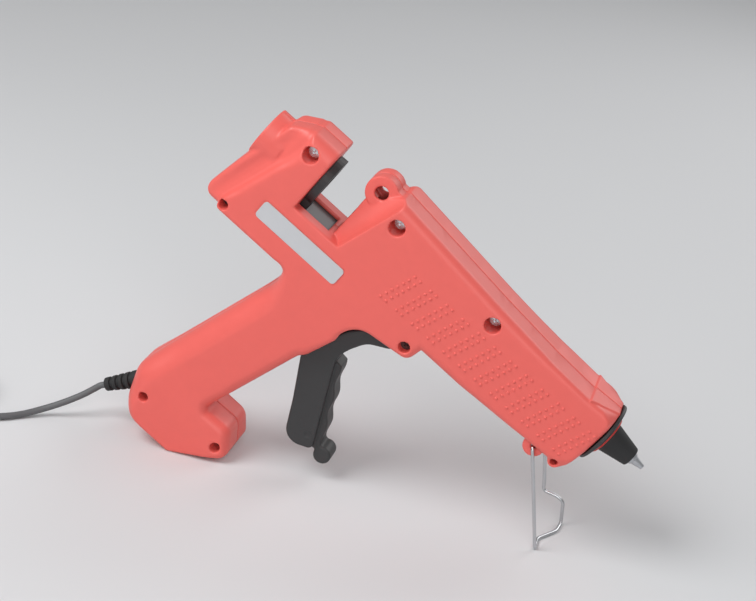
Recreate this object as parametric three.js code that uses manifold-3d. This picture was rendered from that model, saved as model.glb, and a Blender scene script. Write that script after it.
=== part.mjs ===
// A hot glue applicator for sticks of about 11 mm, standing on the foot of its grip and on its folding wire stand.
// Lengths are in millimetres. The gun is drawn in its own axes: x forward along the glue stick, z up across it and
// y across the gun, with y = 0 on the plane where the two halves of the housing meet. The near half has negative y.
// The last group tips the barrel down and stands the gun on the floor, with z = 0 there.
import * as THREE from "three";
import { mergeVertices } from "three/addons/utils/BufferGeometryUtils.js";
import Module from "manifold-3d";

const wasm = await Module();
wasm.setup();

const degrees = Math.PI / 180;
const quarterTurn = Math.PI / 2;

// Fits and shares
const wall = 2.4; // of the moulded housing
const seamGap = 0.3; // between the two halves of the housing
const fit = 0.3; // round pieces that stay where they are
const running = 0.5; // round pieces that move
const overrun = 2; // how far a cutter reaches past what it cuts
const weldDistance = 1e-4; // points closer than this are one point
const smoothing = 0.08; // how far a simplified surface may stray
const cornerSteps = 4; // straight pieces in a rounded corner of an outline
const edgeSteps = 3; // rings in the rounded edge of a slab
const smallEdge = 3.2; // edges up to this size are one bevel
const largeSides = 36;
const roundSides = 24;
const smallSides = 12;
const recessSides = 16;
const bendShare = 0.45; // of a straight piece that the bend at its end may take
const cutterReach = 60; // beyond the axis, past everything that is cut

// The gun as a whole
const barrelDrop = 31; // degrees that the barrel points below level
const bodyWidth = 37;
const bodyEdge = 3;
const bodyDepth = 46; // from the stick's axis to the underside of the rear body
const stickBore = 12.8; // of the holes in the housing that the stick passes

// Head, which the glue stick enters from the rear
const headLength = 41;
const headHeight = 20.8; // above the stick's axis
const headRearWidth = 29;
const headFlankLength = 31.5; // of its full width, along the underside
const headEdge = 3;
const headRearEdge = 4;
const headGrooveRadius = 7;
const collarDiameter = 28;
const collarLength = 14;
const collarSetback = 3.5; // from the rear of the head to the collar's rim

// Notch between head and barrel, where the feed clamp travels
const notchLength = 23.5;
const notchFloor = 15.5; // below the stick's axis
const slotWidth = 20;
const slotMargin = 3;

// Barrel
const barrelLength = 168.5;
const barrelRearHeight = 26;
const barrelMidHeight = 19.2;
const barrelFrontHeight = 17.2;
const barrelRearDepth = 28.5;
const barrelFrontDepth = 25;
const barrelEdge = 5.5;
const noseDiameter = 36;
const noseRearRadius = 31; // where the taper starts
const noseLobeRadius = 5.5;
const noseLobeWidth = 34;
const noseTaper = 22; // length over which the barrel's corners run out to a round nose
const rampRadius = 14.6; // of the hollow on each side between notch and barrel
const rampMiddle = 21.2; // of the hollow's centre beside the seam
const ridgeLead = 6; // from the notch to the ridge's foot
const ridgeLean = 12; // degrees that the ridge in front of the hollow leans forward

// Hanging eyelet
const eyeletRadius = 9;
const eyeletBore = 7.4;
const eyeletWidth = 16;
const eyeletSetback = 4.5; // from the notch to its centre
const eyeletHeight = 18.3; // above the stick's axis

// Grip and foot, drawn along the grip, which rakes back
const gripRake = 15.8; // degrees
const gripRootX = 61.4;
const gripRootDrop = 52.5; // below the stick's axis
const gripDepth = 39;
const gripWidth = 34;
const gripLength = 98.3;
const rearShoulder = [6, 10]; // where the underside meets the grip's rear, across and down
const frontShoulderDown = 14;
const rootOverhang = 4; // of the underside's corner behind the grip's root
const rootOverlap = 2; // of the grip into the body
const gripEdge = 13;
const buttLength = 28.8; // below the straight part of the grip
const buttEdge = 8;
const footWidth = 40;
const footReach = 30; // forward of the grip's front
const footEdge = 5;

// Lug that carries the trigger
const lugX = 130.7;
const lugDrop = 32.4;
const lugRadius = 8;
const archX = 105;
const archDrop = 47;

// Housing screws
const screwHeadDiameter = 6.4;
const screwHeadHeight = 2.2;
const screwDiameter = 2.8;
const screwLength = 20;
const slotDepth = 1;
const eyeletScrewLead = 21.9; // forward of the notch
const rearScrewInset = 3.2; // forward of the flank's rear corner, and up from the underside
const rearScrewRise = 4.4;
const noseScrewSetback = 5.6; // from the front of the barrel
const noseScrewRise = 1; // above the underside of the nose
const recessDepth = 9;
const wideRecess = 8.8;
const narrowRecess = 7;
const bossWall = 1.2;

// Trigger
const triggerWidth = 18;
const triggerFrontX = 111;
const triggerFrontDrop = 73.7;
const triggerSlope = 26.4; // degrees that its front leans out of square with the barrel
const triggerLength = 52.2;
const triggerDepth = 16.8;
const triggerWall = 2.6;
const triggerEdge = 1.2;
const pusherWidth = 5.6;
const triggerPull = 14; // degrees
const fingerPitch = 19.5;
const fingerCount = 3;
const fingerRelief = 0.95;
const fingerStand = 2.9; // of the finger pad in front of the side plates
const fingerPadWidth = 13;
const hookReach = 7; // of the finger hook at the bottom, in front of the pad
const hookLength = 13;
const hubRadius = 5.4;
const journalRadius = 2.8;
const noseRadius = 4; // of the pusher at the back of the trigger
const noseX = 84;
const noseDrop = 78;

// Feed slide, clamp and lever
const feedStroke = 14;
const clampDiameter = 29;
const clampThickness = 4.2;
const clampStemWidth = 14;
const clampFootHeight = 1.4;
const clampFootReach = 1.6;
const gripRingLip = 1.6;
const gripRingDiameter = 18;
const gripRingThickness = 2.6;
const slideWidth = 24;
const slideThickness = 3.6;
const slideLength = 37;
const slideLugLength = 8;
const slideLugThickness = 3;
const slidePinDiameter = 3;
const slidePinLength = 13;
const slidePinDrop = 5.7; // below the slide
const slidePinLag = 10.5; // behind the lever's pin at rest
const railThickness = 2.4;
const railSpan = 18; // between the two rails
const railEnd = 94;
const leverX = 76;
const leverDrop = 56;
const leverThickness = 6;
const leverHubRadius = 4.5;
const leverPinDiameter = 4;
const leverPinLength = 26;
const leverArmWidth = 6;
const leverArmLength = 26;
const leverArmAngle = 68.2; // degrees that the lower arm drops below level
const leverArmOffset = 8.3; // behind the pin
const leverForkLength = 29.5; // from its pin to the end of the prongs
const leverForkDepth = 1.5;
const leverForkWall = 2;

// Stick guide, melt chamber, heater and nozzle
const guideBore = 12;
const guideWall = 0.8;
const guideStart = 2.6; // forward of the notch
const chamberLength = barrelLength * 0.374;
const chamberAir = 7.6; // between the chamber and the walls, across both sides
const chamberSetback = 5; // from the front of the barrel
const chamberSocket = 6; // that the guide's end sits in
const chamberBore = 11.6;
const nozzleThread = 8;
const nozzleThreadLength = 10;
const heaterEnds = 25; // of the chamber beyond the heater, at both ends together
const heaterLength = chamberLength - heaterEnds;
const heaterWidth = 13;
const heaterThickness = 3.8;
const heaterDrop = 12; // below the stick's axis
const heaterWall = 1.7; // of the block round it
const supportThickness = 5;
const supportAir = 0.6; // between the supports and the walls, across both sides
const supportInset = 4.5; // from each end of the chamber to its middle
const supportHold = 1.4; // of its rim between the ribs
const ribThickness = 1.6;
const ringDiameter = 35.4;
const ringThickness = 3.6;
const ringNeckDiameter = 26;
const ringLipDiameter = 28.8;
const ringLipThickness = 2;
const redRingDiameter = 22;
const redRingThickness = 1;
const nozzleDiameter = 10;
const coneLength = 18;
const coneWideDiameter = 17.5;
const coneNarrowDiameter = 10.9;
const tipLength = 8;
const tipWideDiameter = 5;
const tipNarrowDiameter = 2.8;
const tipBore = 1.6;

// Wire stand and its ears
const wireDiameter = 1.9;
const earSetback = 18.3; // from the front of the barrel
const earDrop = 26.5;
const earRadius = 5.8;
const earThickness = 3.6;
const earSpan = 29; // over the outer faces
const standSpan = 32; // between the middles of the legs
const legLean = 11.6; // degrees that the legs lean forward of upright
const standToe = 9.5; // that the far end of the foot loop lies further forward
const standHeel = 14; // height of the loop's far upright
const standSplay = 1.5;
const standBend = 2.5;
const standStep = 22; // height above the floor where the far leg bends forward
const pivotHook = 5;

// Label plate
const labelLength = 54;
const labelHeight = 10.4;
const labelThickness = 0.6;
const labelRadius = 2;
const labelX = 55;
const labelDrop = 28;

// Return spring
const springRadius = 2.4;
const springWire = 0.8;
const springTurns = 8;
const springStepsPerTurn = 8;
const springDrop = 28; // below the stick's axis
const springPostX = 20;
const springPostRadius = 1.6;

// Mains cord, strain relief, clamp, terminals and plug
const cordDiameter = 3.7;
const reliefX = 38.5; // where its axis leaves the butt
const reliefDrop = 166.2;
const reliefSlope = 25; // degrees below level, pointing back, with the gun standing
const reliefOutside = 20.7;
const reliefInside = 2; // from the butt's surface to its neck
const reliefNeck = 2.4; // length of its neck
const reliefLip = 1.4;
const reliefCollarDiameter = 15;
const reliefWideDiameter = 10.4;
const reliefNarrowDiameter = 7.6;
const reliefNeckDiameter = 8;
const reliefRibs = 4;
const reliefRibDepth = 1;
const terminalDown = gripLength * 0.631; // down the grip to its top
const terminalLength = 18;
const terminalWidth = 14;
const terminalDepth = 12;
const leadDiameter = 2;
const leadAir = 7.2; // between the leads' middles and the walls, across both sides
const leadSpan = bodyWidth - 2 * wall - leadAir;
const leadAcross = 20;
const leadDrop = 18.5; // below the stick's axis in the barrel
const clampDown = gripLength * 0.895;
const clampAcross = 16;
const clampPlateLength = 22;
const clampPlateWidth = 7;
const clampPlateThickness = 2.6;
const clampScrewDiameter = 2.4;
const clampScrewHead = 4.6;
const clampScrewSpan = 14;
const clampScrewLength = 8;
const clampPostRadius = 2.9;
const coilRadius = 22; // to the middle of the turns, which are 12 cord diameters across
const coilLayers = 4;
const coilTurns = 2.35; // in each layer
const coilPitch = 4.6;
const coilLift = 1.3; // over the tie
const coilAway = 168; // behind and beside the barrel's rear end
const coilAside = 28;
const coilHeading = -55; // degrees round the coil where the cord comes in
const coilStepUp = 0.25; // turns
const coilSteps = 24;
const cordSteps = 40;
// The way from the relief to the coil: shares of the way back, of the way aside, and of the relief's height
const cordRunShares = [
  [0.092, 0.135, 0.62],
  [0.213, 0.255, 0.336],
  [0.336, 0.366, 0.106],
  [0.445, 0.521, 0],
  [0.554, 0.681, 0],
  [0.763, 0.851, 0],
];
const tailLevel = 9; // of the cord's end, on top of the coil, down to the floor, and on the floor
const tailDescent = 34;
const tailEnd = 7;
const tailBend = 6;
const tieWidth = 6;
const tieThickness = 0.9;
const plugLength = 36;
const plugWidth = 34;
const plugHeight = 14;
const plugShares = [[0, 0.3], [0.35, 0.35], [0.6, 0.95], [1, 1]]; // of its length and half its width
const plugPinDiameter = 4;
const plugPinLength = 19;
const plugPinSpan = 18.6;

// Stations worked out from the sizes above
const notchFront = headLength + notchLength;
const barrelFront = notchFront + barrelLength;
const bodyHalf = bodyWidth / 2;
const earX = barrelFront - earSetback;
const coreSpan = 2 * Math.min(bodyHalf, barrelFrontHeight) - 2 * wall;
const chamberDiameter = coreSpan - chamberAir;
const supportDiameter = coreSpan - supportAir;
const innerHalf = bodyHalf - wall;
const lug = point(lugX, -lugDrop);
const ear = point(earX, -earDrop);
const lever = point(leverX, -leverDrop);
const gripRoot = point(gripRootX, -gripRootDrop);

function point(x, z) {
  return new THREE.Vector2(x, z);
}

// A point given along and across a direction that leans back from straight down by some degrees.
function along(origin, lean, across, down) {
  const s = Math.sin(lean * degrees);
  const c = Math.cos(lean * degrees);
  return point(origin.x + across * c - down * s, origin.y - across * s - down * c);
}

// The corners [x, z, radius] of an outline, set in by a distance, as a list of points with rounded corners.
function loop(given, setIn) {
  const turnedRound = THREE.ShapeUtils.area(given.map(([x, z]) => point(x, z))) < 0;
  const corners = turnedRound ? [...given].reverse() : given;
  const count = corners.length;
  const points = [];
  for (let i = 0; i < count; i++) {
    const [before, here, after] = [corners[(i + count - 1) % count], corners[i], corners[(i + 1) % count]];
    const at = point(here[0], here[1]);
    const into = at.clone().sub(point(before[0], before[1])).normalize();
    const out = point(after[0], after[1]).sub(at).normalize();
    const turn = into.cross(out);
    const miter = point(-into.y - out.y, into.x + out.x);
    const corner = at.clone().addScaledVector(miter, setIn / (1 + into.dot(out)));
    if (!here[2]) {
      points.push(corner);
      continue;
    }
    const radius = Math.max(turn > 0 ? here[2] - setIn : here[2] + setIn, fit / 2);
    const halfTurn = Math.abs(Math.atan2(turn, into.dot(out))) / 2;
    const tangent = radius * Math.tan(halfTurn);
    const side = Math.sign(turn);
    const start = corner.clone().addScaledVector(into, -tangent);
    const centre = start.clone().add(point(-into.y, into.x).multiplyScalar(side * radius));
    for (let k = 0; k <= cornerSteps; k++) {
      const spoke = start.clone().sub(centre);
      points.push(spoke.rotateAround(point(0, 0), (side * 2 * halfTurn * k) / cornerSteps).add(centre));
    }
  }
  return points;
}

// A slab across the gun with a rounded edge all round it, between two y values, set in from the outline.
function slab(corners, from, to, edge = 0, inside = 0) {
  const rings = edge ? [] : [[from, inside], [to, inside]];
  const steps = edge > smallEdge ? edgeSteps : 1;
  for (let k = 0; edge && k <= steps; k++) {
    const turn = (k / steps) * quarterTurn;
    rings.push([from + edge * (1 - Math.cos(turn)), inside + edge * (1 - Math.sin(turn))]);
  }
  for (const [y, setIn] of edge ? [...rings].reverse() : []) rings.push([from + to - y, setIn]);
  return skin(rings.map(([y, setIn]) => loop(corners, setIn).map((p) => new THREE.Vector3(p.x, y, p.y))));
}

// A closed skin over a row of loops that hold as many points each.
function skin(loops) {
  const size = loops[0].length;
  const positions = loops.flat().flatMap((p) => [p.x, p.y, p.z]);
  const index = [];
  for (let r = 0; r + 1 < loops.length; r++)
    for (let i = 0; i < size; i++) {
      const j = (i + 1) % size;
      const [a, b, c, d] = [r * size + i, r * size + j, (r + 1) * size + j, (r + 1) * size + i];
      index.push(a, d, b, b, d, c);
    }
  const last = (loops.length - 1) * size;
  for (const [start, turned] of [[0, false], [last, true]]) {
    const flat = loops[start / size].map((p) => point(p.x, p.z));
    for (const [a, b, c] of THREE.ShapeUtils.triangulateShape(flat, []))
      index.push(start + a, start + (turned ? c : b), start + (turned ? b : c));
  }
  return solid(new Float32Array(positions), index);
}

function solid(positions, index) {
  const bare = new THREE.BufferGeometry();
  bare.setAttribute("position", new THREE.BufferAttribute(positions, 3));
  if (index) bare.setIndex(index);
  const welded = mergeVertices(bare, weldDistance);
  const triVerts = new Uint32Array(welded.index.array);
  return new wasm.Manifold(
    new wasm.Mesh({ numProp: 3, vertProperties: welded.attributes.position.array, triVerts }),
  );
}

function solidOf(geometry) {
  const index = geometry.index ? Array.from(geometry.index.array) : null;
  return solid(new Float32Array(geometry.attributes.position.array), index);
}

function join(...solids) {
  return solids.reduce((all, one) => all.add(one));
}

function cut(body, ...cutters) {
  return cutters.reduce((rest, one) => rest.subtract(one), body);
}

// A round bar along y from one y value to another, at a point of the side view.
function bar(at, radius, from, to, sides = roundSides) {
  const cylinder = new THREE.CylinderGeometry(radius, radius, to - from, sides);
  return solidOf(cylinder.translate(at.x, (from + to) / 2, at.y));
}

// A turned piece about the stick's axis; the profile is a closed list of [x, radius], rear to front on the outside.
function turned(profile, sides = roundSides) {
  const points = profile.map(([x, radius]) => point(radius, x));
  if (points[0].x) points.push(points[0].clone());
  const lathe = new THREE.LatheGeometry(points, sides);
  return solidOf(lathe.rotateZ(-quarterTurn));
}

function rod(from, to, radius, sides = roundSides) {
  return turned([[from, 0], [from, radius], [to, radius], [to, 0]], sides);
}

function sleeve(from, to, inner, outer, sides = roundSides) {
  return turned([[from, inner], [from, outer], [to, outer], [to, inner]], sides);
}

function block(x0, x1, y0, y1, z0, z1) {
  const box = new THREE.BoxGeometry(x1 - x0, y1 - y0, z1 - z0);
  return solidOf(box.translate((x0 + x1) / 2, (y0 + y1) / 2, (z0 + z1) / 2));
}

// A straight bar of round section between two points in space.
function strut(from, to, fromRadius, toRadius, sides = smallSides) {
  const span = to.clone().sub(from);
  const cylinder = new THREE.CylinderGeometry(toRadius, fromRadius, span.length(), sides);
  const turn = new THREE.Quaternion().setFromUnitVectors(new THREE.Vector3(0, 1, 0), span.clone().normalize());
  cylinder.applyQuaternion(turn);
  const middle = from.clone().add(to).multiplyScalar(1 / 2);
  return solidOf(cylinder.translate(middle.x, middle.y, middle.z));
}

// A round wire through a list of points, one ring at each point, square to the way it runs there.
function wire(points, radius, sides) {
  const rings = [];
  let normal = null;
  points.forEach((p, i) => {
    const before = points[Math.max(i - 1, 0)];
    const after = points[Math.min(i + 1, points.length - 1)];
    const into = p.clone().sub(before).normalize();
    const out = after.clone().sub(p).normalize();
    const way = into.clone().add(out).normalize();
    if (!normal) {
      normal = Math.abs(way.y) < Math.SQRT1_2 ? new THREE.Vector3(0, 1, 0) : new THREE.Vector3(1, 0, 0);
    }
    normal = normal.clone().addScaledVector(way, -normal.dot(way)).normalize();
    const side = way.clone().cross(normal);
    const bend = i && i < points.length - 1 ? into.dot(way) : 1;
    const ring = [];
    for (let k = 0; k < sides; k++) {
      const angle = (2 * Math.PI * k) / sides;
      const spoke = normal.clone().multiplyScalar(Math.cos(angle)).addScaledVector(side, Math.sin(angle));
      ring.push(p.clone().addScaledVector(spoke, radius / Math.max(bend, Math.SQRT1_2)));
    }
    rings.push(ring);
  });
  const positions = rings.flat().flatMap((p) => [p.x, p.y, p.z]);
  const index = [];
  for (let r = 0; r + 1 < rings.length; r++)
    for (let k = 0; k < sides; k++) {
      const j = (k + 1) % sides;
      const [a, b, c, d] = [r * sides + k, r * sides + j, (r + 1) * sides + j, (r + 1) * sides + k];
      index.push(a, b, d, b, c, d);
    }
  const last = (rings.length - 1) * sides;
  for (let k = 1; k + 1 < sides; k++) index.push(0, k + 1, k, last, last + k, last + k + 1);
  return solid(new Float32Array(positions), index);
}

// Outlines of the housing, as corners [x, z, radius]

const ridgeFoot = notchFront + ridgeLead;
const ridgeTop = ridgeFoot + (notchFloor + barrelRearHeight) * Math.tan(ridgeLean * degrees);

function barrelOutline(front) {
  const bottom = -barrelRearDepth;
  return [
    [notchFront, bottom, 0],
    [notchFront + barrelLength * 0.6, bottom, barrelLength * 0.2],
    [ear.x, -barrelFrontDepth, 0],
    [front, -noseDiameter / 2, 0],
    [front, barrelFrontHeight, 0],
    [notchFront + barrelLength * 0.53, barrelMidHeight, barrelLength * 0.3],
    [ridgeTop, barrelRearHeight, 3],
    [notchFront, eyeletHeight - eyeletRadius, 0],
  ];
}

const barrelFoot = lug.x + lugRadius;
const rearBodyOutline = [
  [headLength - headFlankLength, -bodyDepth, 3],
  [gripRoot.x - rootOverhang, -bodyDepth, 6],
  [...along(gripRoot, gripRake, ...rearShoulder), 4],
  [...along(gripRoot, gripRake, gripDepth, frontShoulderDown), 2],
  [archX, -lugDrop - lugRadius, 9],
  [barrelFoot, -lugDrop - lugRadius, lugRadius],
  [barrelFoot, -notchFloor, 0],
  [headLength, -notchFloor, 0],
  [headLength, headHeight, headEdge],
  [headLength * 0.57, headHeight, headEdge],
  [headLength * 0.53, 0, 20],
  [headLength - headFlankLength, -bodyDepth * 0.86, 4],
];

const headOutline = [
  [0, -bodyDepth, 5],
  [headLength * 0.85, -bodyDepth, 0],
  [headLength * 0.85, headHeight, 0],
  [headLength * 0.55, headHeight, 3],
  [headLength * 0.3, headHeight * 0.67, 5],
  [headLength * 0.08, -bodyDepth * 0.4, 10],
  [-headLength * 0.02, -bodyDepth * 0.86, 5],
];

const grip = (across, down) => along(gripRoot, gripRake, across, down);
const gripCorner = (across, down, radius) => [...grip(across, down), radius];
const buttFloor = gripLength + buttLength * 0.87;
const footSole = [gripDepth + footReach, gripLength - buttLength * 0.38];

const gripOutline = [
  gripCorner(0, -rootOverlap, 0),
  gripCorner(0, gripLength + buttLength * 0.2, 16),
  gripCorner(gripDepth * 0.38, buttFloor, 16),
  gripCorner(gripDepth, buttFloor, 8),
  gripCorner(gripDepth, -rootOverlap, 0),
];

const footOutline = [
  gripCorner(gripDepth * 0.45, buttFloor, 8),
  gripCorner(gripDepth * 0.97, buttFloor, 5),
  gripCorner(gripDepth * 1.26, gripLength + buttLength * 0.566, 3),
  gripCorner(...footSole, 6),
  gripCorner(gripDepth + footReach * 0.58, gripLength - buttLength * 0.72, 8),
  gripCorner(gripDepth * 1.02, gripLength - buttLength * 0.53, 5),
  gripCorner(gripDepth * 0.45, gripLength - buttLength * 0.45, 8),
];

// The opening in front of the grip and under the arch, through which the trigger swings in.
const openingShares = [[0.36, -0.36], [0.36, 0.36], [0.14, 0.36]];
const triggerOpening = [
  ...openingShares.map(([down, across]) => gripCorner(gripDepth * (1 + across), gripLength * down, 0)),
  [lug.x + hubRadius + fit, -lugDrop - 2 * lugRadius, 0],
  [lug.x + hubRadius + fit, -lugDrop, 0],
  [lug.x - hubRadius, -lugDrop - hubRadius + wall, 0],
  [archX, -lugDrop - hubRadius + wall, 0],
  gripCorner(gripDepth * (1 - 0.36), 0, 0),
];

// Housing screws: their place, the bore of the recess over the head, and how far from the seam the head rests.
const screwSeat = bodyHalf - recessDepth - screwHeadHeight;
const noseScrewPlace = point(barrelFront - noseScrewSetback, -barrelFrontDepth + noseScrewRise);
const rearScrewPlace = point(headLength - headFlankLength + rearScrewInset, -bodyDepth + rearScrewRise);
const lugSeat = triggerWidth / 2 + running + bossWall;
const screws = {
  head_screw: { at: point(headLength * 0.73, headHeight * 0.553), recess: wideRecess, seat: screwSeat },
  eyelet_screw: { at: point(notchFront + eyeletScrewLead, barrelRearHeight * 0.546), recess: wideRecess, seat: screwSeat },
  barrel_screw: { at: point(notchFront + barrelLength * 0.538, barrelMidHeight * 0.521), recess: wideRecess, seat: screwSeat },
  lug_screw: { at: lug, recess: narrowRecess, seat: lugSeat },
  nose_screw: { at: noseScrewPlace, recess: narrowRecess, seat: screwSeat },
  rear_screw: { at: rearScrewPlace, recess: narrowRecess, seat: screwSeat },
  butt_screw: { at: grip(gripDepth * 0.408, gripLength + buttLength * 0.33), recess: narrowRecess, seat: screwSeat },
  foot_screw: { at: grip(gripDepth + footReach * 0.7, gripLength - buttLength * 0.306), recess: narrowRecess, seat: screwSeat },
};

const slideTop = -notchFloor - wall - fit;
const slideBottom = slideTop - slideThickness;
const slidePin = point(lever.x - slidePinLag, slideBottom - slidePinDrop);
const clampRear = headLength + fit;
const clampFront = clampRear + clampThickness;
const chamberFront = barrelFront - chamberSetback;
const chamberRear = chamberFront - chamberLength;
const ringRear = barrelFront + fit;
const ringFront = ringRear + ringThickness;
const coneRear = ringFront + redRingThickness + 2 * fit;
const coneFront = coneRear + coneLength;
const cordRadius = cordDiameter / 2;
const supports = [chamberRear + supportInset, chamberFront - supportInset];
const springAnchor = point(springPostX, -springDrop);
const leverPinHalf = leverPinLength / 2;
const slidePinHalf = slidePinLength / 2;
const clampScrewPlaces = [-1, 1].map((side) => grip(clampAcross + (side * clampScrewSpan) / 2, clampDown));
const clampScrewTip = clampScrewLength - cordRadius - clampPlateThickness - 2 * fit;

// The gun's axes turned to the floor's: x level, z up, with z = 0 under the foot.
const drop = barrelDrop * degrees;

function tipped(at) {
  return point(at.x * Math.cos(drop) + at.y * Math.sin(drop), at.y * Math.cos(drop) - at.x * Math.sin(drop));
}

const sole = Math.min(...loop(footOutline, 0).map((p) => tipped(p).y));

function onFloor(at, y = 0) {
  const level = tipped(at);
  return new THREE.Vector3(level.x, y, level.y - sole);
}

// Rounds the corners of a path in space, each drawn as a few straight pieces.
function bend(points, radius) {
  const path = [points[0]];
  for (let i = 1; i + 1 < points.length; i++) {
    const [before, here, after] = points.slice(i - 1, i + 2);
    const start = here.clone().lerp(before, Math.min(radius / here.distanceTo(before), bendShare));
    const end = here.clone().lerp(after, Math.min(radius / here.distanceTo(after), bendShare));
    path.push(...new THREE.QuadraticBezierCurve3(start, here, end).getPoints(cornerSteps));
  }
  path.push(points.at(-1));
  return path;
}

// A flat bar with round ends between two points of the side view.
function link(from, to, half, near, far) {
  const way = to.clone().sub(from).normalize().multiplyScalar(half);
  const side = point(-way.y, way.x);
  const corners = [
    from.clone().sub(way).sub(side),
    to.clone().add(way).sub(side),
    to.clone().add(way).add(side),
    from.clone().sub(way).add(side),
  ];
  return slab(corners.map((p) => [p.x, p.y, half - weldDistance]), near, far);
}

// The same piece on both sides of the seam
function pair(make) {
  return join(make(-1), make(1));
}

function between(side, inner, outer) {
  return side < 0 ? [-outer, -inner] : [inner, outer];
}

// Housing: its outer form, its hollow, and the two halves cut from them

function noseCutter(inside) {
  const rear = barrelFront - noseTaper;
  return turned([
    [rear, noseRearRadius - inside],
    [rear, cutterReach],
    [barrelFront + overrun, cutterReach],
    [barrelFront + overrun, noseDiameter / 2 - inside],
  ], largeSides);
}

function rampCutter(side) {
  const foot = new THREE.Vector3(ridgeFoot - rampRadius, side * rampMiddle, -notchFloor);
  const top = new THREE.Vector3(ridgeTop - rampRadius, side * rampMiddle, barrelRearHeight);
  const lean = top.clone().sub(foot).multiplyScalar(1 / 2);
  return strut(foot, top.add(lean), rampRadius, rampRadius, largeSides);
}

function form(inside) {
  const wide = (corners, width, edge) => {
    const half = width / 2 - inside;
    return slab(corners, -half, half, Math.max(edge - inside, fit), inside);
  };
  return join(
    cut(wide(barrelOutline(barrelFront), bodyWidth, barrelEdge), noseCutter(inside)),
    wide(rearBodyOutline, bodyWidth, bodyEdge),
    wide(headOutline, headRearWidth, headRearEdge),
    wide(gripOutline, gripWidth, gripEdge),
    wide(footOutline, footWidth, footEdge),
  );
}

function makeHull() {
  const eyelet = point(notchFront + eyeletSetback, eyeletHeight);
  const half = eyeletWidth / 2;
  const body = cut(form(0), rampCutter(-1), rampCutter(1));
  return cut(
    join(
      body,
      sleeve(collarSetback, collarSetback + collarLength, stickBore / 2, collarDiameter / 2),
      bar(eyelet, eyeletRadius, -half, half),
      bar(screws.nose_screw.at, noseLobeRadius, -noseLobeWidth / 2, noseLobeWidth / 2),
      pair((side) => bar(ear, earRadius, ...between(side, earSpan / 2 - earThickness, earSpan / 2))),
    ),
    bar(eyelet, eyeletBore / 2, -bodyWidth, bodyWidth),
    bar(ear, wireDiameter / 2 + running, -bodyWidth, bodyWidth, smallSides),
  );
}

function boss(screw, side) {
  const narrow = screwDiameter / 2 + fit + bossWall;
  const shoulder = screw.seat - bossWall;
  const wide = side < 0 ? screw.recess / 2 + bossWall : narrow;
  return join(
    bar(screw.at, narrow, ...between(side, 0, bodyWidth), smallSides),
    bar(screw.at, wide, ...between(side, shoulder, bodyWidth), smallSides),
  );
}

function ribs(around, inner) {
  const gap = supportThickness / 2 + fit;
  const disc = (from) => sleeve(from, from + ribThickness, inner, cutterReach);
  return join(disc(around - gap - ribThickness), disc(around + gap));
}

function makeInside(hull) {
  const screwPosts = Object.values(screws).map((screw) => pair((side) => boss(screw, side)));
  const shoulders = pair((side) => join(
    bar(lug, hubRadius, ...between(side, triggerWidth / 2 + running, bodyWidth)),
    bar(lever, leverPinDiameter / 2 + fit + bossWall, ...between(side, leverThickness / 2 + running, bodyWidth)),
  ));
  const rails = pair((side) => {
    const [near, far] = between(side, railSpan / 2, bodyHalf);
    return block(clampRear, railEnd, near, far, slideBottom - fit - railThickness, slideBottom - fit);
  });
  const cradle = join(...supports.map((middle) => ribs(middle, supportDiameter / 2 - supportHold)));
  const wireway = block(
    supports[0] - supportThickness, supports[0] + supportThickness,
    -supportThickness, supportThickness,
    -bodyDepth, -chamberDiameter / 2,
  );
  const springPost = bar(springAnchor, springPostRadius, -bodyWidth, bodyWidth, smallSides);
  const clampPosts = clampScrewPlaces.map((at) => bar(at, clampPostRadius, cordRadius + fit, bodyWidth));
  const reliefCollar = reliefBar(fit - reliefInside - reliefNeck, reliefOutside, reliefCollarDiameter / 2);
  const all = join(...screwPosts, shoulders, rails, cut(cradle, wireway), springPost, reliefCollar, ...clampPosts);
  return all.intersect(hull);
}

function makeHousing() {
  const hull = makeHull();
  const shell = join(cut(hull, form(wall)), makeInside(hull));
  const slotHalf = slotWidth / 2;
  const openings = [
    rod(-headLength, notchFront + wall + overrun, stickBore / 2),
    rod(barrelFront - wall - overrun, barrelFront + overrun, ringNeckDiameter / 2 + fit),
    rod(barrelFront - 2 * wall - overrun, barrelFront - wall, ringLipDiameter / 2 + fit),
    block(headLength, notchFront - slotMargin, -slotHalf, slotHalf, slideTop, 0),
    slabAcross(triggerOpening, triggerWidth / 2 + running),
    ...Object.values(screws).flatMap((screw) => [
      bar(screw.at, screw.recess / 2, -bodyWidth, -screw.seat, recessSides),
      bar(screw.at, screwDiameter / 2 + fit, -bodyWidth, screwLength - screw.seat + fit, smallSides),
    ]),
    bar(lever, leverPinDiameter / 2 + fit, -leverPinHalf - fit, leverPinHalf + fit, smallSides),
    ...clampScrewPlaces.map((at) => bar(at, clampScrewDiameter / 2 + fit, -bodyHalf, clampScrewTip + fit, smallSides)),
    reliefBar(-reliefOutside, 0, reliefNeckDiameter / 2 + fit),
    reliefBar(-reliefInside - fit, reliefOutside, reliefWideDiameter / 2 + fit),
    reliefBar(-reliefOutside, fit - reliefInside - reliefNeck, reliefWideDiameter / 2),
    labelSlab(-bodyWidth, -bodyHalf + labelThickness, fit),
  ];
  const open = cut(shell, ...openings);
  const journal = cut(
    bar(lug, journalRadius, -lugSeat, lugSeat),
    bar(lug, screwDiameter / 2 + fit, -bodyWidth, screwLength - screws.lug_screw.seat + fit, smallSides),
  );
  const whole = join(open, journal);
  const halfOf = (side) => {
    const [near, far] = between(side, seamGap / 2, cutterReach);
    const half = block(-cutterReach * 2, barrelFront * 2, near, far, -barrelFront, cutterReach);
    return whole.asOriginal().intersect(half).asOriginal().simplify(smoothing);
  };
  return [halfOf(-1), halfOf(1)];
}

function slabAcross(corners, half) {
  return slab(corners, -half, half);
}

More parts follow.
